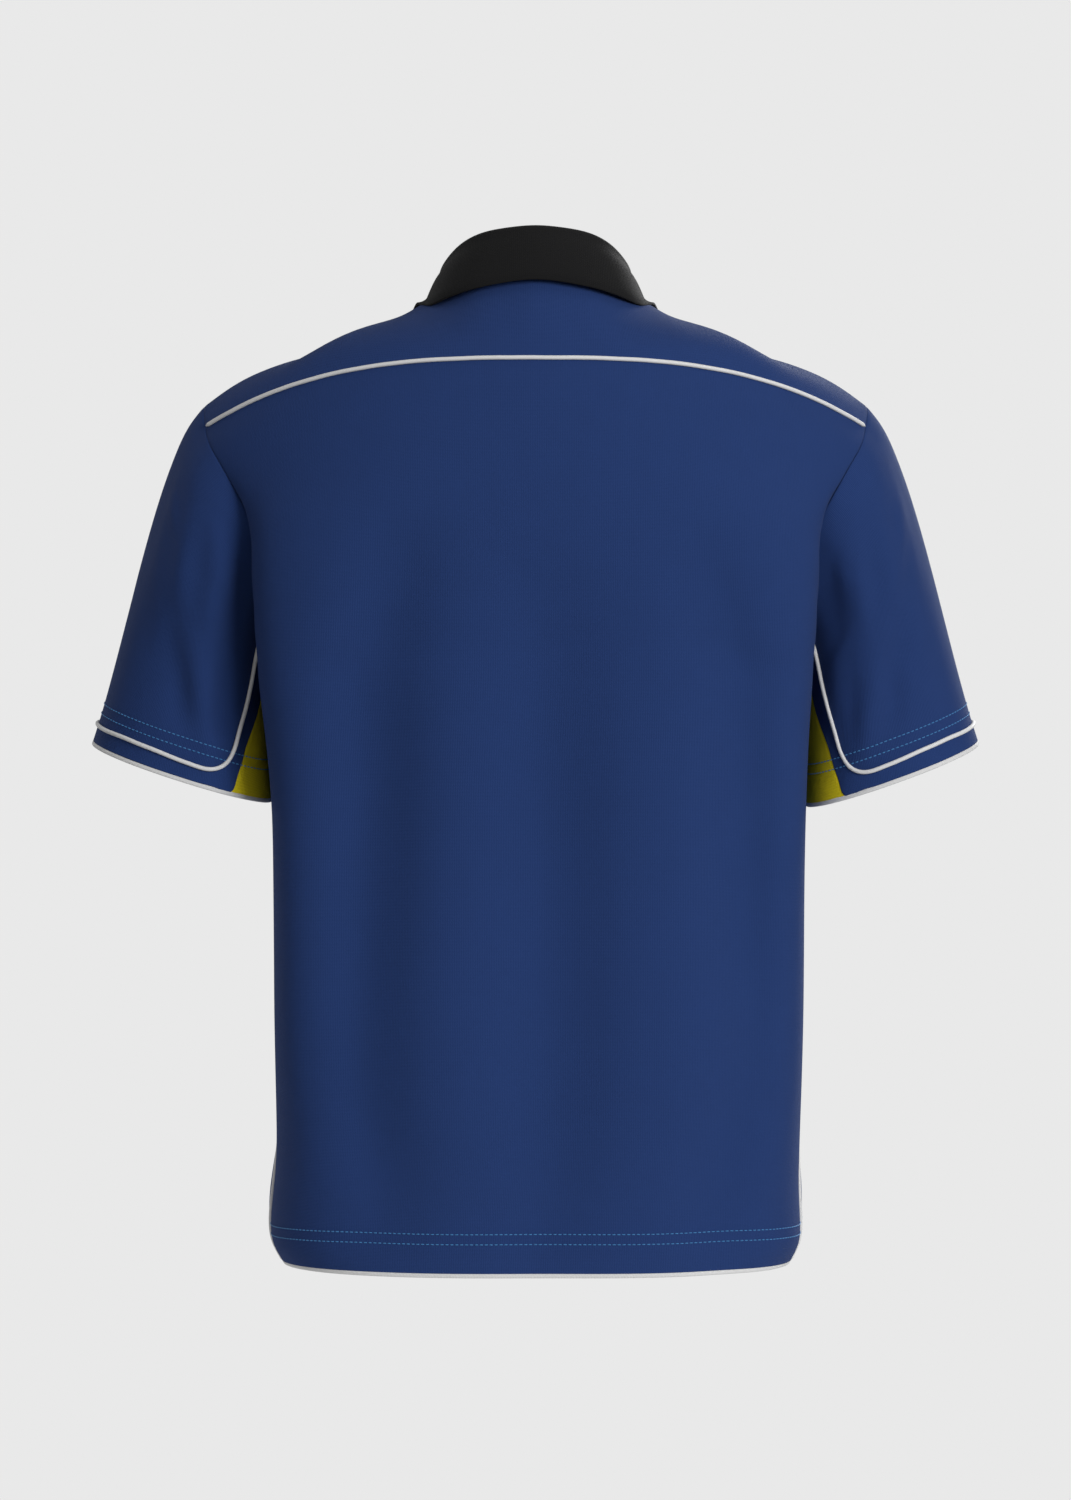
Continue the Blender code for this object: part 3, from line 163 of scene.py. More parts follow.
# Directions and strengths in which the sleeve leaves the armhole and reaches the cuff. Columns:
# place, start_x, start_y, start_z, pull, end_x, end_z, push.
SLEEVE_FLOW = (
    (0.0, 0.75, 0.00, -0.66, 0.50, 0.32, -0.95, 0.9),
    (0.12, 0.78, 0.06, -0.60, 0.60, 0.32, -0.95, 0.9),
    (0.25, 0.85, 0.16, -0.50, 0.70, 0.30, -0.95, 0.8),
    (0.38, 0.88, 0.15, -0.45, 0.60, 0.12, -1.00, 0.6),
    (0.50, 0.70, 0.00, -0.72, 0.60, 0.00, -1.00, 0.3),
)
# Soft folds of a sleeve: a place round it, from the top (0) by the back (0.25) to the
# underarm (0.5), its lean, its middle and reach along the sleeve, its width and its depth.
SLEEVE_FOLDS = (
    (0.255, 0.00, 0.30, 0.30, 0.030, 4.5),
    (0.165, 0.02, 0.38, 0.26, 0.022, 3.0),
    (0.210, 0.16, 0.66, 0.24, 0.032, -4.5),
    (0.275, 0.10, 0.72, 0.20, 0.028, 2.5),
    (0.325, 0.03, 0.62, 0.26, 0.032, -3.5),
    (0.745, 0.00, 0.30, 0.30, 0.030, 4.5),
    (0.690, -0.14, 0.66, 0.24, 0.032, -4.5),
    (0.835, -0.02, 0.42, 0.26, 0.024, 3.0),
)
CUFF_EDGE_SHARE = 0.985     # share along of the points that give the way of the cuff's edging
ROUND_TO_ALONG = 1.6        # length of the sleeve's whole round, as a multiple of its length
# The sleeve's piping, down the back and round above the cuff: place round and share along.
PIPING_SIDE = ((0.398, 0.0), (0.404, 0.25), (0.398, 0.40), (0.386, 0.52), (0.368, 0.66),
               (0.355, 0.77), (0.339, 0.85))
PIPING_CUFF = ((0.339, 0.85), (0.322, 0.893), (0.298, 0.920), (0.255, 0.928), (0.200, 0.932),
               (0.130, 0.938), (0.065, 0.945), (0.0, 0.947))
GUSSET_EDGE = ((0.478, 0.0), (0.468, 0.28), (0.446, 0.45), (0.413, 0.60), (0.391, 0.70),
               (0.377, 0.80), (0.365, 0.90), (0.355, 1.0))

# Collar, by the angle round the neck: its fold line and its lower edge. Columns: angle, fold_x,
# fold_y, fold_z, edge_x, edge_y, edge_z.
COLLAR_ROWS = (
    (0.0, 0.0, 79.0, 39.0, 0.0, 88.0, -1.0),
    (30.0, 37.0, 69.0, 35.0, 47.0, 80.0, -7.5),
    (60.0, 61.0, 42.0, 22.5, 79.0, 50.0, -17.5),
    (90.0, 70.0, 4.0, 7.5, 87.5, 4.0, -21.5),
    (112.0, 68.0, -30.0, -6.5, 100.0, -38.0, -37.5),
    (140.0, 48.0, -71.0, -32.0, 92.0, -86.0, -72.0),
    (160.0, 26.0, -94.0, -50.0, 71.0, -113.0, -103.0),
    (176.0, 6.0, -103.0, -58.5, 47.0, -126.0, -127.0),
)
COLLAR_ROLL = 2.7           # radius of the fold at the collar's top
COLLAR_CLEAR = 1.3          # from the cloth of the body to the middle of the collar's wall
COLLAR_PASSES = 12          # rounds of lifting its faces clear of the cloth
COLLAR_INSIDE = (0.0, 0.0, -60.0)       # a point inside, from which "out" is told
COLLAR_FOOT = 0.7           # the stand starts this far above the neckline
COLLAR_ARC = (45.0, 90.0, 135.0)        # degrees round the fold of its points
COLLAR_FALL = (0.25, 0.5, 0.75, 1.0)    # shares down the fall of its points
COLLAR_CROWN = 1.2          # the fall bows out this far

# Placket and buttons
PLACKET_HALF_WIDTH = 16.0
PLACKET_ROWS = 8            # rows of the front panel that it covers
PLACKET_COLUMNS = 4
PLACKET_TOP_SHARE = 0.15    # how far below the neckline it starts, as a share of a row
PLACKET_WALL = 1.2
PLACKET_LIFT = 0.5          # off the front panel, whose faces are slightly twisted

# Looks
ROW_STEPS = 6               # finer rows and columns for each one of the solids
YOKE_STEPS = 5
COLUMN_STEPS = 5
NEAR_SEAM = (0.03, 0.08, 0.16)      # extra rows and columns this near a panel's edges, in rows
NEAR_SIDE = (0.07, 0.15)
NEAR_SLEEVE_SEAM = (0.06, 0.15)
NEAR_PLACKET = (0.1,)
PLACKET_STEPS = (6, 5)
NEAR_COLLAR_EDGE = (0.12, 0.3, 0.5)
COLLAR_STEPS = (5, 6)
# name, steps of the rows and the columns, sewn edges
SLEEVE_PIECES = (
    ("top", (7, 4), ("top", "bottom", "first", "last")),
    ("band", (5, 3), ("top", "first", "last")),
    ("gusset", (6, 4), ("top", "first", "last")),
)
SEAM_TUCK = 0.35            # how far the cloth draws in at a seam, and over what distance
SEAM_TUCK_REACH = 1.3
PLACE_MM = 380.0            # rough length round a sleeve, and along it
SHARE_MM = 260.0
MIN_SHEET = 0.0101          # the narrowest strip that counts as cloth, in metres
MIN_FILL = 0.31             # the least share of its flat size that a sheet may cover
EDGING_WALL = 1.0
# Points of the edging's section: down from the cloth's edge, and out.
EDGING_PROFILE = ((-2.0, -0.75), (-0.3, -0.35), (0.6, 0.1), (1.8, 0.2), (2.8, 0.05),
                  (EDGING_HEIGHT, -0.3))
COLLAR_MIDDLE_Y = -20.0     # the middle that the collar faces away from, and how far it faces up
COLLAR_UPWARD = 25.0
BODY_MIDDLE = (0.35, 0.0, 1.0)      # shares of a body point that give a point inside, level with it
COLLAR_EDGE_ROLL = 1.0      # the collar's lower edge curls in this far
COLLAR_EDGE_REACH = 3.0
PIPING_SEAT = 1.0           # the piping's middle above the seam it is sewn into
PIPING_STEP = 2.4
PIPING_DETAIL = 12          # points of its line for each one of the seam, before it is eased
PIPING_SIDES = 12
PIPING_END = 0.45           # the first and the last ring of a cord, as a share of its radius
PIPING_EASING = 6           # rounds of smoothing of its line and of its normals
STITCH_PITCH = 3.6
STITCH_LENGTH = 2.8
STITCH_RADIUS = 0.42
PLACKET_STITCH_SHARE = 0.8  # of the radius, for the finer stitches of the placket
STITCH_LIFT = 0.05          # its middle above the cloth
STITCH_SIDES = 6
# Rings of a stitch: place along it from -1 to 1, width and rise, as multiples of its radius.
STITCH_RINGS = ((-1.0, 0.15, -0.9), (-0.8, 0.8, -0.1), (-0.35, 1.0, 0.45), (0.35, 1.0, 0.45),
                (0.8, 0.8, -0.1), (1.0, 0.15, -0.9))
HEM_STITCHES = (21.4, 28.8)     # above the edge of the blue cloth
CUFF_STITCHES = (21.8, 29.3)
CUFF_STITCH_PLACES = 81     # columns and rows of a cuff, from this share along the sleeve
CUFF_STITCH_ROWS = 12
CUFF_STITCH_TOP = 0.55
CUFF_EDGE_PLACES = 144
BUTTON_PROFILE = ((4.6, -1.2), (5.5, -0.8), (5.7, 0.1), (5.5, 0.8), (5.0, 1.15), (4.5, 1.1),
                  (4.0, 0.75), (3.4, 0.6))      # radius and height, from the underside
BUTTON_SIDES = 48
BUTTON_HOLE = 0.75          # radius, depth of the cut and distance from the button's middle
BUTTON_HOLE_DEPTH = 8.0
BUTTON_HOLE_SIDES = 16
BUTTON_HOLE_ANGLES = (45.0, 135.0, 225.0, 315.0)
BUTTON_SHARP = 35.0         # edges of a button that turn more than this are sharp
BUTTON_HOLE_PLACE = 1.7
BAR_STRANDS = (-0.22, 0.22) # the two strands of a bar of thread, to each side of its holes
BAR_HEIGHT = 0.95           # over its middle, and how far it dips towards its ends
BAR_DIP = 0.45
BAR_RADIUS = 0.3
BAR_POINTS = 9
BUTTONHOLE_DROP = 0.1
BUTTONHOLE_HALF = 8.5       # half its length
LINE_POINTS = 12            # points of a short straight line of stitches
BUTTONHOLE_SIDES = (-1.1, 1.1)
BUTTONHOLE_STITCH = (0.8, 0.7, 0.45)        # pitch, length and radius

CREASE_END_POWER = 0.9      # how soon a crease dies out towards its ends
# Creases of the body: panel, x and z at the top, x and z at the bottom, width, depth.
BODY_CREASES = (
    ("front", 156.0, -186.0, 88.0, -306.0, 22.0, -4.0),
    ("front", -154.0, -180.0, -74.0, -292.0, 24.0, -3.6),
    ("front", 176.0, -322.0, 112.0, -470.0, 20.0, -3.6),
    ("front", -174.0, -338.0, -118.0, -462.0, 19.0, -3.2),
    ("front", 50.0, -392.0, 92.0, -690.0, 32.0, -4.4),
    ("front", -34.0, -362.0, -100.0, -676.0, 30.0, -4.0),
    ("front", 6.0, -500.0, -14.0, -712.0, 28.0, 2.6),
)
# Creases of the sleeves: side, place and share at each end, width, depth.
SLEEVE_CREASES = (
    ("left", 0.076, 0.26, 0.140, 0.35, 7.0, 1.1),
    ("left", 0.196, 0.14, 0.262, 0.32, 16.0, 1.6),
    ("left", 0.100, 0.50, 0.226, 0.84, 27.0, -3.2),
    ("left", 0.212, 0.50, 0.270, 0.74, 19.0, 1.8),
    ("left", 0.300, 0.62, 0.346, 0.80, 16.0, -1.8),
    ("right", 0.080, 0.26, 0.172, 0.47, 8.0, 1.2),
    ("right", 0.300, 0.10, 0.316, 0.42, 20.0, -1.4),
    ("right", 0.334, 0.36, 0.318, 0.90, 17.0, 3.0),
    ("left", 0.700, 0.20, 0.780, 0.58, 18.0, -2.2),
    ("left", 0.880, 0.30, 0.810, 0.72, 16.0, 1.6),
    ("right", 0.680, 0.24, 0.742, 0.66, 18.0, -2.2),
    ("right", 0.900, 0.36, 0.850, 0.78, 15.0, -1.6),
)

BLUE = (0.0150, 0.0375, 0.1350)
BLACK = (0.0085, 0.0085, 0.0088)
WHITE = (0.62, 0.62, 0.62)
YELLOW = (0.60, 0.49, 0.012)
THREAD_BLUE = (0.036, 0.165, 0.38)
THREAD_NAVY = (0.02, 0.035, 0.11)
BUTTON_COLOUR = (0.012, 0.012, 0.014)
SIDES = (("left", 1.0), ("right", -1.0))

# Camera, light and floor, in metres
CAMERA_DISTANCE = 4.2
CAMERA_HEIGHT = -0.350
CAMERA_LENS = 133.15
CAMERA_SENSOR = 36.0
BACKGROUND = 0.815
AMBIENT_STRENGTH = 0.27
# name, x, y, z, size, energy
LIGHTS = (
    ("key", -2.1, 2.9, 0.7, 1.8, 112.0),
    ("fill", 1.8, 3.0, 0.6, 2.0, 8.0),
    ("top", 0.0, 0.4, 2.6, 1.6, 10.0),
    ("front_key", -1.6, -2.8, 0.9, 1.6, 95.0),
    ("front_fill", 2.2, -2.0, 0.3, 1.8, 16.0),
)
LIGHTS_TARGET = (0.0, 0.0, -0.33)
FLOOR_RADIUS = 0.9
FLOOR_HEIGHT = -1.07


# ---- Curves ----
def unit(vectors):
    return vectors / np.maximum(np.linalg.norm(vectors, axis=-1, keepdims=True), 1e-12)


def totals(steps):
    return np.concatenate(([0.0], np.cumsum(steps)))


def run_lengths(points):
    """Length along the first axis of rows of points, from its start."""
    steps = np.linalg.norm(np.diff(points, axis=0), axis=-1)
    return np.concatenate([np.zeros((1, *steps.shape[1:])), np.cumsum(steps, axis=0)])


def read_at(where, knots, points):
    """Points of a polyline at some places between its knots."""
    return np.stack([np.interp(where, knots, values) for values in points.T], axis=-1)


def along(points, shares):
    """Points at the given shares of a polyline's length."""
    run = run_lengths(points)
    return read_at(shares * run[-1], run, points)


def hermite(t, span, begin, leaving, end, arriving):
    """The cubic from begin to end with the given directions there, at t from 0 to 1."""
    return ((1 + 2 * t) * (1 - t) ** 2 * begin + t * (1 - t) ** 2 * span * leaving
            + t * t * (3 - 2 * t) * end + t * t * (t - 1) * span * arriving)


def arch(start, middle, end, t):
    """The parabola through three points, at t from 0 to 1."""
    return start * (1 - t) * (1 - 2 * t) + middle * 4 * t * (1 - t) + end * t * (2 * t - 1)


def steady_curve(knots, values, where):
    """Monotone cubic through rows of values, which never swings past its neighbours."""
    steps = np.diff(knots)[:, None]
    slopes = np.diff(values, axis=0) / steps
    before, after = slopes[:-1], slopes[1:]
    same_way = before * after > 0
    total = np.where(same_way, before + after, 1.0)
    inner = np.where(same_way, 2 * before * after / total, 0.0)
    tangents = np.vstack([slopes[:1], inner, slopes[-1:]])
    where = np.clip(np.atleast_1d(where), knots[0], knots[-1])
    left = np.clip(np.searchsorted(knots, where, side="right") - 1, 0, len(knots) - 2)
    t = ((where - knots[left]) / steps[left, 0])[:, None]
    return hermite(t, steps[left], values[left], tangents[left], values[left + 1],
                   tangents[left + 1])


def mirrored_curve(table, where):
    """Smooth curves through rows of (knot, x, y, z, ...) that cross the middle squarely."""
    table = np.array(table)
    before = table[1] * np.array([-1.0] + [-1.0, 1.0, 1.0] * (table.shape[1] // 3))
    table = np.vstack([before, table])
    return steady_curve(table[:, 0], table[:, 1:], where)


def flowing_rows(rows, steps, start=None, start_share=0.0):
    """Rows of points with smooth rows put between them; steps gives how many after each.

    start gives directions in which the first row leaves, followed by start_share of the way.
    """
    rows = np.array(rows)
    knots = totals(np.linalg.norm(np.diff(rows, axis=0), axis=2).mean(axis=1))
    tangents = np.gradient(rows, knots, axis=0)
    if start is not None:
        speed = np.linalg.norm(tangents[0], axis=1, keepdims=True)
        tangents[0] += (start * speed - tangents[0]) * start_share
    result = [rows[0]]
    for k, count in enumerate(steps):
        result += [hermite(i / count, knots[k + 1] - knots[k], rows[k], tangents[k], rows[k + 1],
                           tangents[k + 1]) for i in range(1, count + 1)]
    return np.array(result)


def spline(values, where):
    """Natural cubic spline along the first axis, read at fractional indices."""
    count = len(values)
    flat = values.reshape(count, -1)
    steps = np.diff(values, axis=0).reshape(count - 1, -1, values.shape[-1])
    spans = np.maximum(np.linalg.norm(steps, axis=2).mean(axis=1), 1e-6)
    system = np.eye(count)
    right = np.zeros_like(flat)
    for k in range(1, count - 1):
        before, after = spans[k - 1], spans[k]
        system[k, k - 1:k + 2] = (before, 2 * (before + after), after)
        right[k] = 6 * ((flat[k + 1] - flat[k]) / after - (flat[k] - flat[k - 1]) / before)
    bend = np.linalg.solve(system, right)
    left = np.clip(np.floor(where).astype(int), 0, count - 2)
    second = (where - left)[:, None]
    first = 1 - second
    result = (first * flat[left] + second * flat[left + 1]
              + ((first ** 3 - first) * bend[left] + (second ** 3 - second) * bend[left + 1])
              * spans[left][:, None] ** 2 / 6)
    return result.reshape(len(where), *values.shape[1:])


def straight(values, where):
    """Values along the first axis, read at fractional indices, straight between them."""
    left = np.clip(np.floor(where).astype(int), 0, len(values) - 2)
    t = (where - left)[:, None, None]
    return values[left] * (1 - t) + values[left + 1] * t


def finer(grid, rows, columns, curve=spline):
    return curve(curve(grid, rows).swapaxes(0, 1), columns).swapaxes(0, 1)


def fine_places(count, per, near_start=(), near_end=()):
    """Fractional indices, per to each step, with more of them near the ends."""
    extra = [*near_start, *(count - 1 - x for x in near_end)]
    return np.unique(np.concatenate([np.linspace(0, count - 1, (count - 1) * per + 1), extra]))


def grid_normals(grid):
    """Unit normals of a grid of points, along columns crossed with along rows."""
    return unit(np.cross(np.gradient(grid, axis=1), np.gradient(grid, axis=0)))


def outward_normals(grid, outward):
    normals = grid_normals(grid)
    middle = tuple(np.array(grid.shape[:2]) // 2)
    return normals * np.sign(normals[middle] @ outward(grid[middle]))


def fill_patch(top, bottom, first, last):
    """A patch of points between four edges that share their corners."""
    u = np.linspace(0.0, 1.0, len(top))[None, :, None]
    v = np.linspace(0.0, 1.0, len(first))[:, None, None]
    across = (1 - v) * top[None] + v * bottom[None]
    along_sides = (1 - u) * first[:, None] + u * last[:, None]
    corners = ((1 - u) * (1 - v) * top[0] + u * (1 - v) * top[-1]
               + (1 - u) * v * bottom[0] + u * v * bottom[-1])
    return across + along_sides - corners


def cells(grid):
    """The four corners of every cell of a grid, in order round it."""
    return np.stack([grid[:-1, :-1], grid[1:, :-1], grid[1:, 1:], grid[:-1, 1:]], axis=2)


def numbered(grid, start=0):
    """The number of each point of a grid, in the grid's own rows and columns."""
    return np.arange(grid.shape[0] * grid.shape[1]).reshape(grid.shape[:2]) + start


def tree_of(grids):
    """A search tree of the faces of some grids, for seating what lies on them."""
    points, faces = [], []
    for grid in grids:
        faces += cells(numbered(grid, len(points))).reshape(-1, 4).tolist()
        points += [Vector(p) for p in grid.reshape(-1, 3)]
    return BVHTree.FromPolygons(points, faces)


# ---- The solids' own grids ----
def both_sides(half):
    """A full row from the half of it that runs from the middle to the left."""
    return np.concatenate([half[:0:-1] * (-1.0, 1.0, 1.0), half])


def panel_row(centre_y, centre_z, fold_x, fold_y, seam_x, seam_y, seam_z, power, turn_end=90.0,
              sway=0.0):
    """One row of a panel from its right side to its left side.

    In plan its half is a superellipse to the widest point, and then turns in to the seam.
    """
    turn = np.radians(np.linspace(0.0, turn_end, PLAN_POINTS))
    side = np.sin(turn) ** (2 / power)
    depth = np.maximum(np.cos(turn), 0.0) ** (2 / power)
    plan = np.stack([fold_x * side / side[-1],
                     fold_y + (centre_y - fold_y) * (depth - depth[-1]) / (1 - depth[-1])], axis=1)
    if (fold_x, fold_y) != (seam_x, seam_y):
        ease = np.linspace(0.0, 1.0, TAIL_POINTS)[1:]
        tail_x = seam_x + (fold_x - seam_x) * np.cos(ease * math.pi / 2) ** 2
        tail_y = fold_y + (seam_y - fold_y) * ease
        plan = np.concatenate([plan, np.column_stack([tail_x, tail_y])])
    reach = np.clip(plan[:, 0] / fold_x, 0.0, 1.0) ** YOKE_DROP_POWER
    heights = centre_z + (seam_z - centre_z) * reach
    columns = 1 - (1 - np.arange(HALF_COLUMNS + 1) / HALF_COLUMNS) ** COLUMN_CROWDING
    half = along(np.column_stack([plan, heights]), columns)
    half[-1] = (seam_x, seam_y, seam_z)
    return both_sides(half) + (sway, 0.0, 0.0)


def body_rows(face):
    """The rows of the back or the front panel below the underarm."""
    rows = []
    for values in BODY_ROWS:
        row = dict(zip(BODY_COLUMNS, values))
        rise = HEM_RISE * max(0.0, (HEM_RISE_TOP - row["z"]) / HEM_RISE_SPAN)
        rows.append(panel_row(row[face + "_y"], row["z"], row[face + "_fold_x"],
                              row[face + "_fold_y"], row["seam_x"], row["seam_y"],
                              row["z"] + rise, row[face + "_round"], sway=row["sway"]))
    return rows


def neck_angles(start):
    return np.linspace(start, NECK_CORNER_ANGLE, NECK_COLUMNS + 1)


def top_line(start_angle):
    """The neckline from its middle outwards, and on along the front shoulder seam."""
    seam = arch(*np.array(FRONT_SEAM), np.linspace(0.0, 1.0, SEAM_POINTS)[:, None])
    seam = along(seam, np.linspace(0.0, 1.0, HALF_COLUMNS - NECK_COLUMNS + 1))
    return np.concatenate([mirrored_curve(NECK_RING, neck_angles(start_angle)), seam[1:]])


def push_folds(grid, panel, facing):
    """Move a panel's points in and out along its normals by the table of folds."""
    turn = np.linspace(-1.0, 1.0, grid.shape[1])
    depth = np.zeros(grid.shape[:2])
    for name, middle, lean, top_z, bottom_z, width, amount in BODY_FOLDS:
        if name == panel:
            share = np.clip((top_z - grid[:, :, 2]) / (top_z - bottom_z), 0.0, 1.0)
            off = (turn - (middle + lean * share)) / width
            depth += amount * np.sin(math.pi * share) ** FOLD_END_POWER * np.exp(-off ** 2)
    edge = np.clip((1 - np.abs(turn)) / FOLD_END_TURN, 0.0, 1.0)
    return grid + facing * grid_normals(grid) * (depth * edge)[:, :, None]


def back_grid():
    rows = [panel_row(*values) for values in BACK_ROWS] + body_rows("back")
    return push_folds(flowing_rows(rows, [1] * (len(rows) - 1)), "back", 1.0)


def yoke_grid(back):
    """The yoke from the back seam over the shoulders to the neckline and the front seam."""
    bottom, top = back[0], both_sides(top_line(0.0))
    table = np.column_stack([np.arange(len(YOKE_MIDDLE)), YOKE_MIDDLE])
    middle = both_sides(mirrored_curve(table, np.linspace(0.0, table[-1, 0], HALF_COLUMNS + 1)))
    t = np.linspace(0.0, 1.0, YOKE_ROWS + 1)[:, None, None]
    plain_rise = 4 * middle - 3 * bottom - top
    rise = unit(back[0] - back[1]) * np.linalg.norm(plain_rise, axis=1)[:, None]
    lift = (rise - plain_rise) * t * np.clip(1 - t / YOKE_REACH, 0.0, 1.0) ** 2
    return arch(bottom, middle, top, t) + lift


def front_grid(yoke):
    """The front panel from the neckline and the front shoulder seam to the hem."""
    top, chest = top_line(180.0), panel_row(*FRONT_ROWS[0])
    low = chest[HALF_COLUMNS:]
    upper = fill_patch(top, low, np.array([top[0], *FRONT_MIDDLE, low[0]]),
                       np.array([top[-1], *FRONT_ARMHOLE, low[-1]]))[:-1]
    arc = np.sin(math.pi * np.linspace(0.0, 1.0, HALF_COLUMNS + 1))[:, None]
    (at_middle, beside), (gather, fade) = FRONT_FULLNESS, FRONT_FULL_POWERS
    bow = np.array(FRONT_FULL_WAY) * (at_middle + beside * arc ** gather) * arc ** fade
    rows = [both_sides(row + bow * math.sin(math.pi * k / len(upper)))
            for k, row in enumerate(upper)]
    rows += [chest, *(panel_row(*values) for values in FRONT_ROWS[1:]), *body_rows("front")]
    off_middle = np.abs(np.arange(-HALF_COLUMNS, HALF_COLUMNS + 1))[:, None] / NECK_COLUMNS
    share = FRONT_FLOW * np.clip(off_middle, 0.0, 1.0) ** 3
    steps = [2] * len(upper) + [1] * (len(rows) - len(upper) - 1)
    return push_folds(flowing_rows(rows, steps, unit(yoke[-1] - yoke[-2]), share), "front", -1.0)


class Sleeve:
    """One sleeve as a surface, worked out for the left side and mirrored for the right.

    "place" runs round it from 0 at the top by the back to 0.5 underneath and on by the front to 1.
    "share" runs along it from 0 at the armhole to 1 at the cuff.
    """

    def __init__(self, ring, sign):
        self.ring = ring * (sign, 1.0, 1.0)
        self.sign = sign
        self.under = int(np.argmin(ring[:, 2]))
        self.loop = np.vstack([self.ring, self.ring[:1]])
        run = run_lengths(self.loop)
        half, whole = run[self.under], run[-1]
        self.places = np.where(run <= half, 0.5 * run / half,
                               0.5 + 0.5 * (run - half) / (whole - half))
        sway = dict(zip(BODY_COLUMNS, BODY_ROWS[CUFF_BODY_ROW]))["sway"] * sign
        inner_x, inner_z = CUFF_INNER[sign]
        outer = np.array((CUFF_OUTER[0], CUFF_CENTRE_Y, CUFF_OUTER[1]))
        inner = np.array((inner_x + sway, CUFF_CENTRE_Y, inner_z))
        self.cuff_centre = (outer + inner) / 2
        self.cuff_lateral = (outer - inner) / 2
        turn = np.linspace(0.0, 2 * math.pi, CUFF_SAMPLES)
        cuff_run = run_lengths(self.cuff_point(turn))
        self.cuff_turns = (cuff_run / cuff_run[-1], turn)

    def cuff_point(self, turn):
        side, depth = ((np.sign(x) * np.abs(x) ** (2 / CUFF_ROUND))[:, None]
                       for x in (np.cos(turn), np.sin(turn)))
        return self.cuff_centre + side * self.cuff_lateral + depth * np.array(CUFF_BACK)

    def flow(self, place):
        """The directions in which the cloth leaves the armhole and reaches the cuff."""
        table = np.array(SLEEVE_FLOW)
        row = steady_curve(table[:, 0], table[:, 1:], min(place, 1 - place))[0]
        start_x, start_y, start_z, pull, end_x, end_z, push = row
        lean = start_y if place < 0.5 else -start_y
        start = unit(np.array((start_x, lean, start_z))) * pull
        return start, unit(np.array((end_x, 0.0, end_z))) * push

    def plain_point(self, place, share):
        place = place % 1.0
        begin = read_at(place, self.places, self.loop)
        end = self.cuff_point(np.array([np.interp(place, *self.cuff_turns)]))[0]
        start, finish = self.flow(place)
        return hermite(share, np.linalg.norm(end - begin), begin, start, end, finish)

    def normal(self, place, share):
        high, low = min(share + SLEEVE_STEP, 1.0), max(share - SLEEVE_STEP, 0.0)
        down = self.plain_point(place, high) - self.plain_point(place, low)
        around = (self.plain_point(place + SLEEVE_STEP, share)
                  - self.plain_point(place - SLEEVE_STEP, share))
        return unit(np.cross(down, around))

    def point(self, place, share):
        """A point of the surface with its folds."""
        place = place % 1.0
        depth = 0.0
        for middle, lean, half_way, reach, width, amount in SLEEVE_FOLDS:
            off = (share - half_way) / reach
            if abs(off) < 1:
                middle += lean * (share - half_way)
                bell = math.cos(off * math.pi / 2) ** 2
                depth += amount * bell * math.exp(-((place - middle) / width) ** 2)
        return self.plain_point(place, share) + self.normal(place, share) * depth

    def surface(self, patch):
        """The points of a patch of (place, share) pairs, on this sleeve's own side."""
        points = [self.point(*pair) for pair in patch.reshape(-1, 2)]
        return np.array(points).reshape(*patch.shape[:-1], 3) * (self.sign, 1.0, 1.0)


def smooth_line(table, shares):
    """Points on a smooth curve through a short table of (place, share) pairs."""
    table = np.array(table)
    knots = totals(np.linalg.norm(np.diff(table, axis=0) * (ROUND_TO_ALONG, 1.0), axis=1))
    return steady_curve(knots, table, shares * knots[-1])


def half_lines(cuff_steps, starts, front):
    """The side piping, the cuff piping and the gusset's edge on one half of a sleeve.

    starts gives where on the armhole the piping and the gusset start.
    """
    steps = np.linspace(0.0, 1.0, SIDE_ROWS + 1)
    lines = [smooth_line(PIPING_SIDE, 1 - (1 - steps) ** LINE_CROWDING),
             smooth_line(PIPING_CUFF, np.linspace(0.0, 1.0, cuff_steps + 1) ** CUFF_CROWDING),
             smooth_line(GUSSET_EDGE, steps)]
    if front:
        lines = [line * (-1.0, 1.0) + (1.0, 0.0) for line in lines]
    for line, place in zip(lines[::2], starts):
        line[:, 0] += (place - line[0, 0]) * steps[::-1] ** 2
    return lines


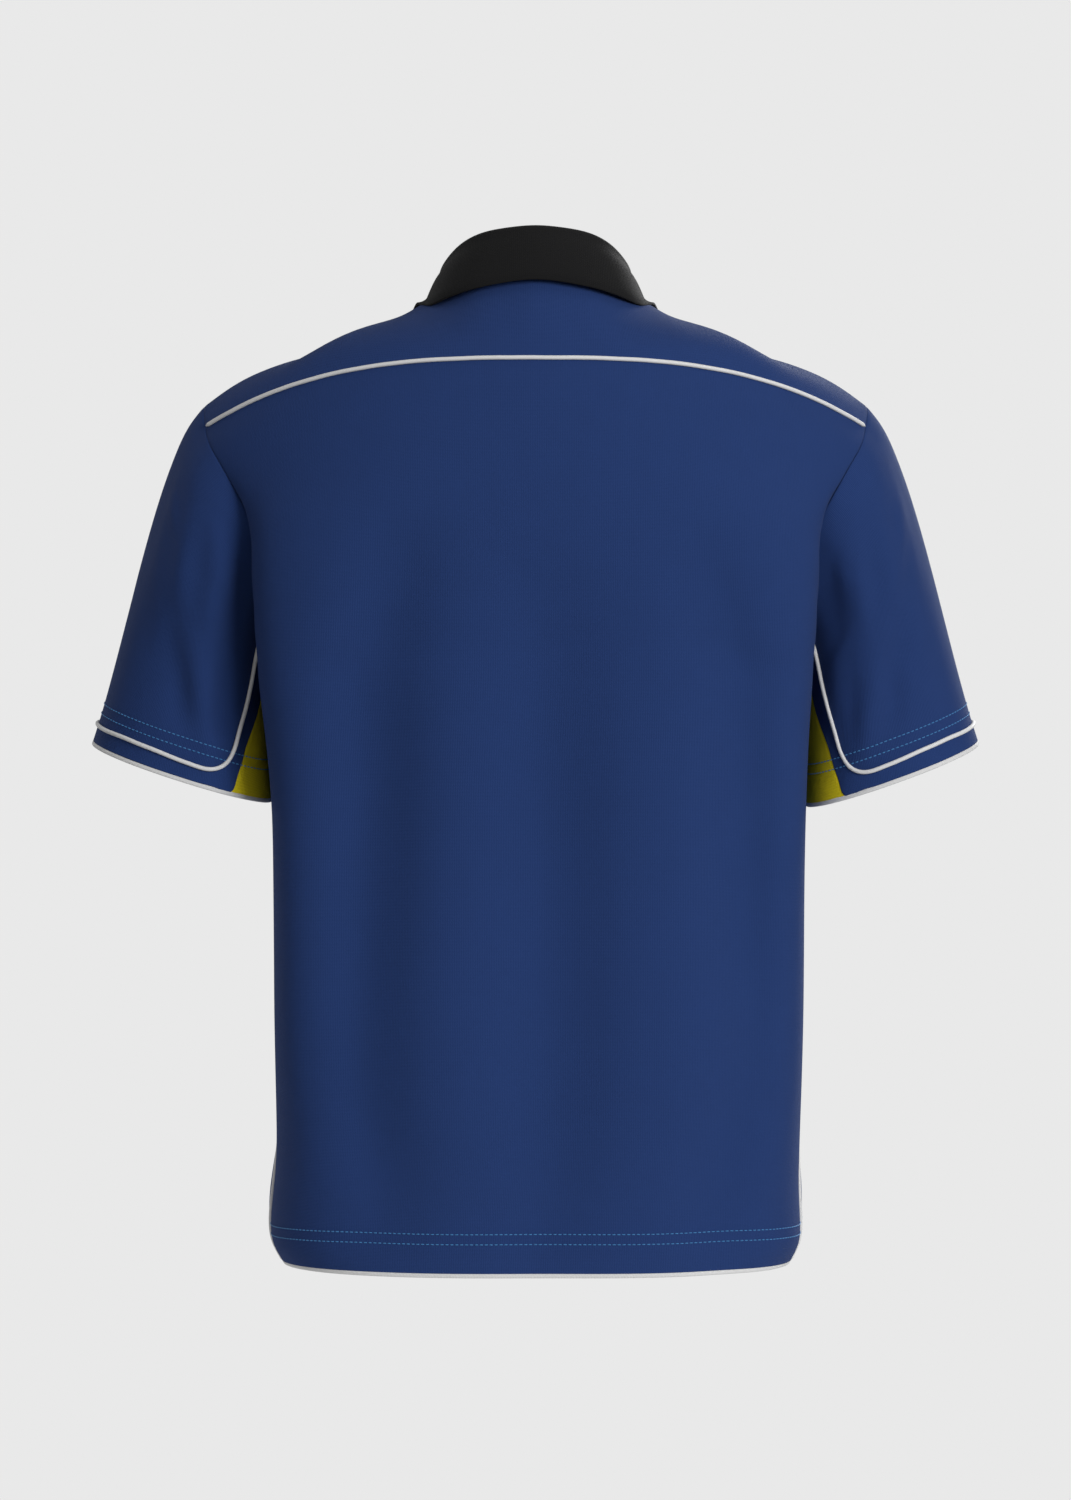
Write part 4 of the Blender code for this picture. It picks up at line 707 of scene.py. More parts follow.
def sleeve_patches(sleeve):
    """Patches of (place, share) pairs for the main panel, the band and the gusset.

    The line of the piping between the first two comes last.
    """
    def level(row, share):
        return np.column_stack([row, np.full(len(row), share)])

    def joined(back, front):
        """Down a line on the back and up one on the front, whose places run on below 0."""
        return np.vstack([back, front[-2::-1] - (1.0, 0.0)])

    places, under, count = sleeve.places, sleeve.under, len(sleeve.ring)
    back_gusset, front_gusset = under - GUSSET_STEPS, under + GUSSET_STEPS
    back_piping, front_piping = back_gusset - BAND_STEPS, front_gusset + BAND_STEPS
    back = half_lines(back_piping, places[[back_piping, back_gusset]], False)
    front = half_lines(count - front_piping, places[[front_piping, front_gusset]], True)
    ring_top = np.concatenate([places[back_piping::-1], places[count - 1:front_piping - 1:-1] - 1])
    main_patch = fill_patch(level(ring_top, 0.0), joined(back[1], front[1]), back[0],
                            front[0] - (1.0, 0.0))

    inner = joined(*(np.vstack([side, cuff[1:]]) for side, cuff, _ in (back, front)))
    outer = joined(*(np.vstack([gusset, level(np.linspace(gusset[-1, 0], top, len(cuff)), 1.0)[1:]])
                     for top, (_, cuff, gusset) in ((0.0, back), (1.0, front))))
    band_patch = fill_patch(inner, outer, level(places[back_piping:back_gusset + 1], 0.0),
                            level(places[front_gusset:front_piping + 1][::-1] - 1, 0.0))

    columns = np.arange(GUSSET_COLUMNS + 1)
    gusset_top = np.interp(columns, (0, GUSSET_COLUMNS / 2, GUSSET_COLUMNS),
                           places[[back_gusset, under, front_gusset]])
    gusset_low = np.linspace(back[2][-1, 0], front[2][-1, 0], GUSSET_COLUMNS + 1)
    gusset_patch = fill_patch(level(gusset_top, 0.0), level(gusset_low, 1.0), back[2], front[2])
    return main_patch, band_patch, gusset_patch, inner


def armhole_ring(back, yoke, front, column):
    """The armhole's points from the top by the back to the underarm and up by the front."""
    middle = len(yoke) // 2
    return np.vstack([yoke[middle:0:-1, column], back[:UNDERARM_BACK_ROW + 1, column],
                      front[UNDERARM_FRONT_ROW - 1::-1, column], yoke[-2:middle:-1, column]])


def collar_section(base, fold, edge):
    """One section of the collar: up the stand, over the fold and down the fall."""
    out = unit((edge - base) * (1.0, 1.0, 0.0))
    up = np.array((0.0, 0.0, 1.0))
    roll = fold - up * COLLAR_ROLL
    stand_top, fall_top = roll - out * COLLAR_ROLL, roll + out * COLLAR_ROLL
    foot = base + unit(stand_top - base) * COLLAR_FOOT
    arc = [roll + (up * math.sin(a) - out * math.cos(a)) * COLLAR_ROLL
           for a in np.radians(COLLAR_ARC)]
    fall = [fall_top + (edge - fall_top) * t + out * COLLAR_CROWN * math.sin(math.pi * t)
            for t in COLLAR_FALL]
    return [foot, (foot + stand_top) / 2, stand_top, *arc, fall_top, *fall]


def collar_grid(tree):
    """The collar's points, with its fall lifted clear of the cloth under it."""
    table = np.array(COLLAR_ROWS)
    angles = np.concatenate([neck_angles(0.0), neck_angles(table[-1, 0])[-2::-1]])
    sections = [collar_section(base, line[:3], line[3:]) for base, line
                in zip(mirrored_curve(NECK_RING, angles), mirrored_curve(table, angles))]
    half = np.array(sections)
    fall = half[:, -1 - len(COLLAR_FALL):].swapaxes(0, 1)

    def lifted(point):
        """How far a point must move to lie clear of the cloth, as a vector."""
        spot, normal, _, _ = tree.find_nearest(Vector(point))
        if normal.dot(spot - Vector(COLLAR_INSIDE)) < 0:
            normal = -normal
        lack = COLLAR_CLEAR - (Vector(point) - spot).dot(normal)
        return np.array(normal) * max(lack, 0.0)

    rows, columns = fall.shape[:2]
    for _ in range(COLLAR_PASSES):
        for r in range(1, rows):
            for c in range(columns):
                fall[r, c] += lifted(fall[r, c])
        for r in range(1, rows):
            for c in range(1, columns):
                middle = fall[r - 1:r + 1, c - 1:c + 1].mean(axis=(0, 1))
                fall[r, c - 1:c + 1] += lifted(middle)
    return both_sides(half).swapaxes(0, 1)


def placket_grid(front):
    """The placket's own points: the middle of the front panel, moved out; and its normals."""
    column, beside = (front[:PLACKET_ROWS + 1, HALF_COLUMNS + k] for k in (0, 1))
    share = PLACKET_HALF_WIDTH / beside[:, :1] * np.linspace(-1.0, 1.0, PLACKET_COLUMNS + 1)
    mirror = np.where(share < 0, -1.0, 1.0)[:, :, None] * (1.0, 0.0, 0.0) + (0.0, 1.0, 1.0)
    share = np.abs(share)[:, :, None]
    grid = (column[:, None] * (1 - share) + beside[:, None] * share) * mirror
    grid[0] = grid[0] + (grid[1] - grid[0]) * PLACKET_TOP_SHARE
    normals = grid_normals(grid)
    normals *= np.sign(-normals[:, :, 1:2])
    return grid + normals * PLACKET_LIFT, normals


# ---- Shells of cloth ----
def from_middle(point):
    return point * (1.0, 1.0, 0.0)


def upward(point):
    return np.array((0.0, 0.0, 1.0))


def forward(point):
    return np.array((0.0, -1.0, 0.0))


def from_collar_middle(point):
    return np.array((point[0], point[1] - COLLAR_MIDDLE_Y, COLLAR_UPWARD))


def edge_distances(grid):
    """Distances of each point from the top, bottom, first and last edges along the cloth."""
    down = run_lengths(grid)
    across = run_lengths(grid.swapaxes(0, 1)).T
    return {"top": down, "bottom": down[-1] - down, "first": across,
            "last": across[:, -1:] - across}


def tucked(grid, outward, edges):
    """A panel whose named edges are drawn in a little, as a sewn seam does."""
    distances = edge_distances(grid)
    depth = sum(SEAM_TUCK * np.exp(-(distances[edge] / SEAM_TUCK_REACH) ** 2) for edge in edges)
    return grid - outward_normals(grid, outward) * np.minimum(depth, SEAM_TUCK)[:, :, None]


def creased(grid, outward, plan, table, name, scale=(1.0, 1.0), turns=(0.0,)):
    """A panel with the soft ridges and troughs that a table lists under this name.

    Each runs between two places of the panel's flat plan, which scale brings to millimetres.
    """
    depth = np.zeros(grid.shape[:2])
    for key, a, b, a_end, b_end, width, amount in table:
        for turn in turns if key == name else ():
            off_a, off_b = np.moveaxis((plan - (a + turn, b)) * scale, 2, 0)
            way_a, way_b = np.array((a_end - a, b_end - b)) * scale
            length = math.hypot(way_a, way_b)
            share = np.clip((off_a * way_a + off_b * way_b) / length ** 2, 0.0, 1.0)
            off = (off_a * way_b - off_b * way_a) / length
            bell = np.sin(math.pi * share) ** CREASE_END_POWER
            depth += amount * bell * np.exp(-(off / width) ** 2)
    return grid + outward_normals(grid, outward) * depth[:, :, None]


def closed_up(grid, closed):
    return np.concatenate([grid, grid[:, :1]], axis=1) if closed else grid


def mesh_of(name, grid, outward, closed=False):
    """A mesh of a grid's points in metres, with its faces turned outward.

    Its texture places are metres along each row from its middle, and down the middle column.
    """
    full = closed_up(grid, closed)
    middle = full.shape[1] // 2
    across = run_lengths(full.swapaxes(0, 1)).T
    across = across - across[:, middle:middle + 1]
    down = np.repeat(run_lengths(full[:, middle])[:, None], full.shape[1], axis=1)
    faces = cells(closed_up(numbered(grid), closed)).reshape(-1, 4)
    places = cells(np.stack([across, -down], axis=2) * MM).reshape(-1, 4, 2)
    r, c = (min(count // 2, count - 2) for count in grid.shape[:2])
    face_normal = np.cross(grid[r + 1, c] - grid[r, c], grid[r, c + 1] - grid[r, c])
    if face_normal @ outward(grid[r, c]) < 0:
        faces, places = faces[:, ::-1], places[:, ::-1]
    data = bpy.data.meshes.new(name)
    data.from_pydata((grid.reshape(-1, 3) * MM).tolist(), [], faces.tolist())
    layer = data.uv_layers.new(name="cloth")
    layer.data.foreach_set("uv", places.reshape(-1).astype(np.float32))
    data.shade_smooth()
    return data


def place_piece(name, data, surface, slot, nodes=()):
    thing = bpy.data.objects.new(name, data)
    data.materials.append(surface)
    bpy.context.scene.collection.objects.link(thing)
    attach(thing, "root")
    if nodes:
        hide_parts(*nodes)
    return thing


def add_cloth(name, grid, outward, finish, node, wall=WALL, offset=-1.0, closed=False):
    """A shell of cloth in place of a solid, declared with the size that it was cut to."""
    surface, slot = finish
    thing = place_piece(name, mesh_of(name, grid, outward, closed), surface, slot, [node])
    solid = thing.modifiers.new("wall", "SOLIDIFY")
    solid.thickness = wall * MM
    solid.offset = offset
    solid.use_even_offset = True
    full = closed_up(grid, closed) * MM
    width = max(run_lengths(full.swapaxes(0, 1))[-1].max(), MIN_SHEET)
    length = max(run_lengths(full)[-1].max(), MIN_SHEET)
    a, b, c, d = np.moveaxis(cells(full), 2, 0)
    area = sum(np.linalg.norm(np.cross(b - corner, d - corner), axis=2).sum()
               for corner in (a, c)) / 2
    area = min(max(area, MIN_FILL * width * length), width * length)
    print(f"CUT {name} {width * 1000:.0f} x {length * 1000:.0f} mm, {area:.4f} m2")


# ---- Materials ----
class Nodes:
    """A short way to write a material's node tree."""

    def __init__(self, name, colour, roughness=0.5, sheen=0.0, specular=0.25):
        self.material = bpy.data.materials.new(name)
        self.material.use_nodes = True
        self.tree = self.material.node_tree
        self.inputs = self.tree.nodes["Principled BSDF"].inputs
        self.colour = colour
        for key, value in (("Base Color", (*colour, 1.0)), ("Roughness", roughness),
                           ("Specular IOR Level", specular), ("Sheen Weight", sheen)):
            self.inputs[key].default_value = value

    def put(self, socket, value):
        if isinstance(value, bpy.types.NodeSocket):
            self.tree.links.new(value, socket)
        else:
            socket.default_value = value

    def node(self, kind, inputs, output=0, operation=None):
        """An output of a new node whose inputs get values or other outputs."""
        node = self.tree.nodes.new("ShaderNode" + kind)
        if operation:
            node.operation = operation
        for key, value in inputs.items():
            self.put(node.inputs[key], value)
        return node.outputs[output]

    def math(self, operation, *values):
        return self.node("Math", dict(enumerate(values)), operation=operation)

    def cloth_places(self, *counts):
        """The places across and down the cloth, counted at so many to a metre."""
        parts = self.node("SeparateXYZ", {0: self.node("TexCoord", {}, "UV")}).node.outputs
        return [self.math("MULTIPLY", part, count) for part, count in zip(parts, counts)]

    def wave(self, turns):
        """A wave from 0 to 1, once for each turn."""
        cosine = self.math("COSINE", self.math("MULTIPLY", turns, 2 * math.pi))
        return self.math("MULTIPLY_ADD", cosine, 0.5, 0.5)

    def noise(self, scale, detail=3.0, roughness=0.55):
        place = self.node("TexCoord", {}, "Object")
        return self.node("TexNoise", {"Vector": place, "Scale": scale, "Detail": detail,
                                      "Roughness": roughness}, "Fac")

    def spread(self, value, low, high):
        """A 0 to 1 value brought to the range from low to high."""
        return self.node("MapRange", {"Value": value, "To Min": low, "To Max": high}, "Result")

    def tint(self, *parts):
        """The base colour times factors that vary, each a value with its low and high ends."""
        factor, *others = (self.spread(*part) for part in parts)
        for other in others:
            factor = self.math("MULTIPLY", factor, other)
        self.put(self.inputs["Base Color"],
                 self.node("VectorMath", {0: self.colour, "Scale": factor}, operation="SCALE"))

    def surface(self, value, low, high, height, depth):
        """Roughness between low and high by a value, and bumps so many millimetres deep."""
        self.put(self.inputs["Roughness"], self.spread(value, low, high))
        self.put(self.inputs["Normal"],
                 self.node("Bump", {"Strength": 1.0, "Distance": depth * MM, "Height": height}))


def knit(name, colour, wale=1.3, course=1.05, depth=0.30, sheen=0.02):
    """A knit: columns of V-shaped stitches, with faint uneven yarn and fuzz; painted shade darkens
    the grooves between the stitches.
    """
    n = Nodes(name, colour, sheen=sheen, specular=0.10)
    column, row = n.cloth_places(1000.0 / wale, 1000.0 / course)
    fold = n.math("ABSOLUTE", n.math("SUBTRACT", n.math("FRACT", column), 0.5))
    fold = n.math("MULTIPLY", fold, 2.0)
    loop = n.wave(n.math("ADD", row, n.math("MULTIPLY", fold, 0.55)))
    groove = n.math("SUBTRACT", 1.0, n.math("POWER", fold, 3.0))
    height = n.math("MULTIPLY", n.math("ADD", loop, groove), 0.5)
    fuzz, yarn, cloudy = n.noise(900.0, 4.0, 0.7), n.noise(55.0), n.noise(9.0, 2.0)
    # Painted light and shade of the stitches' relief: the colour is darker in the grooves between
    # columns and loops, and lighter on the loops' tops.
    n.tint((height, 0.90, 1.10), (fuzz, 0.90, 1.10), (yarn, 0.965, 1.035), (cloudy, 0.97, 1.03))
    n.surface(fuzz, 0.78, 0.95, n.math("ADD", height, n.math("MULTIPLY", fuzz, 0.5)), depth)
    return n.material


def tape(name, pitch, depth, slant=0.6):
    """A white woven tape or covered cord: fine slanting ridges and a little fuzz, with painted
    shade between the ridges.
    """
    n = Nodes(name, WHITE, sheen=0.08)
    ridge_and_shade = n.wave(n.math("ADD", *n.cloth_places(1000.0 / pitch, 1000.0 * slant / pitch)))
    fuzz = n.noise(1100.0, 3.0, 0.7)
    # Painted shade: the colour is darker in the troughs between the ridges and lighter on their
    # tops.
    n.tint((ridge_and_shade, 0.92, 1.04), (fuzz, 0.93, 1.07))
    n.surface(fuzz, 0.5, 0.72, n.math("ADD", ridge_and_shade, n.math("MULTIPLY", fuzz, 0.4)), depth)
    return n.material


def thread(name, colour):
    n = Nodes(name, colour, sheen=0.1)
    twist = n.noise(1600.0, 2.0)
    n.tint((twist, 0.85, 1.15))
    n.surface(twist, 0.4, 0.65, twist, 0.08)
    return n.material


def resin(name, colour):
    n = Nodes(name, colour)
    grain = n.noise(260.0, 5.0, 0.6)
    n.tint((grain, 0.8, 1.25))
    n.surface(grain, 0.25, 0.42, grain, 0.02)
    n.inputs["Coat Weight"].default_value = 0.25
    return n.material


# ---- Cords, edgings and stitches ----
def seat(tree, points, lift, middles):
    """Points brought onto the cloth and lifted off it, with the cloth's outward normals."""
    spots, normals = [], []
    for point, middle in zip(points, middles):
        spot, normal, _, _ = tree.find_nearest(Vector(point))
        normal = np.array(normal)
        if normal @ (point - middle) < 0:
            normal = -normal
        spots.append(np.array(spot) + normal * lift)
        normals.append(normal)
    return np.array(spots), np.array(normals)


def eased(normals, rounds):
    for _ in range(rounds):
        padded = np.vstack([normals[:1], normals, normals[-1:]])
        normals = unit(padded[:-2] + padded[1:-1] + padded[2:])
    return normals


def add_piping(name, tree, points, middle, surface, node, trim=0):
    """A piping: a round cord on a seam's own smooth line, lifted to where it lies.

    middle gives the points inside the garment from which "out" is told. trim shortens the cord.
    """
    count = max(int(round(run_lengths(points)[-1] / PIPING_STEP)), 2)
    line = spline(points, np.linspace(0, len(points) - 1, len(points) * PIPING_DETAIL))
    line = along(line, np.linspace(0.0, 1.0, count + 1))
    for _ in range(PIPING_EASING):
        line[1:-1] = (line[:-2] + 2 * line[1:-1] + line[2:]) / 4
    normals = eased(seat(tree, line, 0.0, middle(line))[1], PIPING_EASING)
    line = (line + normals * PIPING_SEAT)[trim:count + 1 - trim]
    normals = normals[trim:count + 1 - trim]

    tangents = unit(np.gradient(line, axis=0))
    normals = unit(normals - tangents * (normals * tangents).sum(axis=1, keepdims=True))
    binormals = np.cross(tangents, normals)
    angles = np.linspace(0.0, 2 * math.pi, PIPING_SIDES, endpoint=False)[None, :, None]
    radii = np.full((len(line), 1, 1), PIPING_RADIUS)
    radii[[0, -1]] *= PIPING_END
    ring = (np.cos(angles) * normals[:, None] + np.sin(angles) * binormals[:, None]) * radii
    grid = line[:, None] + ring
    data = mesh_of(name, grid, lambda p: p - line[len(line) // 2], closed=True)
    mesh = bmesh.new()
    mesh.from_mesh(data)
    for ring in numbered(grid)[[0, -1]].tolist():
        mesh.verts.ensure_lookup_table()
        bmesh.ops.contextual_create(mesh, geom=[mesh.verts[k] for k in ring])
    bmesh.ops.recalc_face_normals(mesh, faces=mesh.faces[:])
    mesh.to_mesh(data)
    mesh.free()
    data.shade_smooth()
    place_piece(name, data, surface, "white_piping", [node])


def add_edging(name, above, edge, outward, finish, node):
    """The white edging under a hem or a cuff: a soft strip with a rounded lower edge."""
    down = unit(edge - above)
    out = unit(np.cross(down, np.roll(edge, -1, axis=0) - np.roll(edge, 1, axis=0)))
    out = out * np.sign((out * np.array([outward(p) for p in edge])).sum(axis=1, keepdims=True))
    rows = [edge + down * below + out * stand for below, stand in EDGING_PROFILE]
    add_cloth(name, np.array(rows), outward, finish, node, EDGING_WALL, closed=True)


def add_stitches(name, lines, surface, slot="blue_knit", pitch=STITCH_PITCH,
                 length=STITCH_LENGTH, radius=STITCH_RADIUS):
    """Rows of single stitches on the cloth, joined in one mesh; lines are (points, normals)."""
    points, faces = [], []
    angles = np.linspace(0.0, 2 * math.pi, STITCH_SIDES, endpoint=False)[:, None]
    for line, normals in lines:
        run = run_lengths(line)
        count = int(run[-1] / pitch)
        for middle in (np.arange(count) + 0.5) * run[-1] / count:
            spot, before, after = (read_at(middle + k * length / 2, run, line)
                                   for k in (0, -1, 1))
            up = unit(read_at(middle, run, normals))
            way = unit(after - before)
            ring = np.cross(way, up) * np.cos(angles) + up * np.sin(angles)
            grid = np.array([spot + way * place * length / 2 + (up * rise + ring * fat) * radius
                             for place, fat, rise in STITCH_RINGS])
            index = numbered(grid, len(points))
            faces += cells(closed_up(index, True)).reshape(-1, 4).tolist()
            faces += [index[0].tolist(), index[-1, ::-1].tolist()]
            points += (grid.reshape(-1, 3) * MM).tolist()
    data = bpy.data.meshes.new(name)
    data.from_pydata(points, [], faces)
    data.shade_smooth()
    place_piece(name, data, surface, slot)


def sew_edge(name, tree, grids, distances, middle, surface, easing=0):
    """Twin rows of stitches at these distances above the bottom edge of some grids."""
    for row, distance in zip(("lower", "upper"), distances):
        lines = []
        for grid in grids:
            edge = []
            for column in grid.swapaxes(0, 1):
                run = run_lengths(column)
                edge.append(read_at(run[-1] - distance, run, column))
            edge = np.array(edge)
            spots, normals = seat(tree, edge, STITCH_LIFT, middle(edge))
            lines.append((spots, eased(normals, easing)))
        add_stitches(name.format(row), lines, surface)


# ---- Buttons ----
def new_object(name, mesh):
    """A new object with what a bmesh holds, which is then freed."""
    data = bpy.data.meshes.new(name)
    mesh.to_mesh(data)
    mesh.free()
    thing = bpy.data.objects.new(name, data)
    bpy.context.scene.collection.objects.link(thing)
    return thing


def add_button(name, node, centre, normal, surface):
    """A four-hole button with a raised rim and a dished face; gives how it is turned."""
    mesh = bmesh.new()
    angles = np.linspace(0.0, 2 * math.pi, BUTTON_SIDES, endpoint=False)
    rings = [[mesh.verts.new((radius * math.cos(a), radius * math.sin(a), height))
              for a in angles] for radius, height in BUTTON_PROFILE]
    for first, second in zip(rings, rings[1:]):
        for k in range(BUTTON_SIDES):
            after = (k + 1) % BUTTON_SIDES
            mesh.faces.new((first[k], first[after], second[after], second[k]))
    mesh.faces.new(rings[0][::-1])
    mesh.faces.new(rings[-1])
    button = new_object(name, mesh)
    holes = bmesh.new()
    for angle in np.radians(BUTTON_HOLE_ANGLES):
        made = bmesh.ops.create_cone(holes, cap_ends=True, segments=BUTTON_HOLE_SIDES,
                                     radius1=BUTTON_HOLE, radius2=BUTTON_HOLE,
                                     depth=BUTTON_HOLE_DEPTH)
        bmesh.ops.translate(holes, verts=made["verts"],
                            vec=(BUTTON_HOLE_PLACE * math.cos(angle),
                                 BUTTON_HOLE_PLACE * math.sin(angle), 0.0))
    cutter = new_object(name + "_holes", holes)
    button.modifiers.new("holes", "BOOLEAN").object = cutter
    shaped = bpy.data.meshes.new_from_object(
        button.evaluated_get(bpy.context.evaluated_depsgraph_get()))
    bpy.data.objects.remove(button)
    bpy.data.objects.remove(cutter)
    turn = Vector(normal).to_track_quat("Z", "Y").to_matrix().to_4x4()
    for vertex in shaped.vertices:
        vertex.co = (Vector(centre) + turn @ vertex.co) * MM
    shaped.name = name
    shaped.shade_smooth()
    shaped.set_sharp_from_angle(angle=math.radians(BUTTON_SHARP))
    place_piece(name, shaped, surface, "button", [node])
    return turn


def with_normal(points, normal):
    return np.array(points), np.repeat(np.array(normal)[None], len(points), axis=0)


def add_button_thread(name, centre, turn, surface):
    """The two bars of thread that hold a button, through its four holes."""
    across = BUTTON_HOLE_PLACE * math.cos(math.radians(BUTTON_HOLE_ANGLES[0]))
    lines = []
    for offset in (-across, across):
        for strand in BAR_STRANDS:
            bar = [centre + np.array(turn @ Vector((x, offset + strand,
                                                    BAR_HEIGHT - BAR_DIP * (x / across) ** 2)))
                   for x in np.linspace(-across, across, BAR_POINTS)]
            lines.append(with_normal(bar, turn @ Vector((0.0, 0.0, 1.0))))
    add_stitches(name, lines, surface, "button", 2 * across, 2 * across, BAR_RADIUS)


def add_buttonhole(name, centre, up, surface):
    """A worked buttonhole round a button: two rows of short stitches beside the slit."""
    way = unit(np.cross(up, (1.0, 0.0, 0.0)))
    lines = [with_normal([centre + way * t + (side, 0.0, 0.0) - up * BUTTONHOLE_DROP
                          for t in np.linspace(-BUTTONHOLE_HALF, BUTTONHOLE_HALF,
                                               LINE_POINTS)], up)
             for side in BUTTONHOLE_SIDES]
    add_stitches(name, lines, surface, "blue_knit", *BUTTONHOLE_STITCH)


# ---- The shirt ----
def body_middle(points):
    return points * BODY_MIDDLE


def dress_body(panels, finish):
    """The back, the yoke and the front, with creases and seams; gives their finished grids."""
    columns = fine_places(2 * HALF_COLUMNS + 1, COLUMN_STEPS, NEAR_SIDE, NEAR_SIDE)
    grids = {}
    for name, steps, outward, edges in (
            ("back", ROW_STEPS, from_middle, ("top", "first", "last")),
            ("yoke", YOKE_STEPS, upward, ("top", "bottom", "first", "last")),
            ("front", ROW_STEPS, from_middle, ("top", "first", "last"))):
        grid = panels[name]
        fine = finer(grid, fine_places(len(grid), steps, NEAR_SEAM, NEAR_SEAM), columns)
        fine = creased(fine, outward, fine[:, :, ::2], BODY_CREASES, name)
        grids[name] = tucked(fine, outward, edges)
        node = "back_yoke" if name == "yoke" else name + "_body"
        add_cloth("shirt_" + name, grids[name], outward, finish, node)
    return grids


def dress_sleeve(side, sign, ring, finishes):
    """The three pieces of a sleeve.

    Gives the sleeve's own surface, a search tree of the pieces, the piping's line of (place,
    share) pairs, and a function for the way out of the sleeve at a point.
    """
    sleeve = Sleeve(ring, sign)
    *patches, piping = sleeve_patches(sleeve)
    mirror = np.array((sign, 1.0, 1.0))
    axis_top = sleeve.ring.mean(axis=0)
    way = sleeve.cuff_centre - axis_top

    def outward(point):
        local = point * mirror - axis_top
        return (local - way * np.clip(local @ way / (way @ way), 0.0, 1.0)) * mirror

    grids = []
    for patch, finish, (name, steps, edges) in zip(patches, finishes, SLEEVE_PIECES):
        places = [fine_places(count, per, NEAR_SLEEVE_SEAM, NEAR_SLEEVE_SEAM)
                  for count, per in zip(patch.shape, steps)]
        fine = creased(finer(sleeve.surface(patch), *places), outward,
                       finer(patch, *places, straight), SLEEVE_CREASES, side,
                       (PLACE_MM, SHARE_MM), (0.0, -1.0))
        grids.append(tucked(fine, outward, edges))
        add_cloth(f"shirt_sleeve_{name}_{side}", grids[-1], outward, finish,
                  f"sleeve_{name}_{side}")
    return sleeve, tree_of(grids), piping, outward


def dress_placket(coarse, finish):
    """The placket; gives the grid of its outer face."""
    fine = finer(coarse, *(fine_places(count, steps, NEAR_PLACKET, NEAR_PLACKET)
                           for count, steps in zip(coarse.shape, PLACKET_STEPS)))
    add_cloth("shirt_placket", fine, forward, finish, "front_placket", PLACKET_WALL, 1.0)
    return fine + outward_normals(fine, forward) * PLACKET_WALL


def dress_collar(coarse, finish):
    rows = fine_places(len(coarse), COLLAR_STEPS[0], (), NEAR_COLLAR_EDGE)
    fine = finer(coarse, rows, fine_places(coarse.shape[1], COLLAR_STEPS[1]))
    roll = COLLAR_EDGE_ROLL * np.exp(-(edge_distances(fine)["bottom"] / COLLAR_EDGE_REACH) ** 2)
    fine = fine - outward_normals(fine, from_collar_middle) * roll[:, :, None]
    add_cloth("shirt_collar", fine, from_collar_middle, finish, "collar", COLLAR_WALL, 0.0)


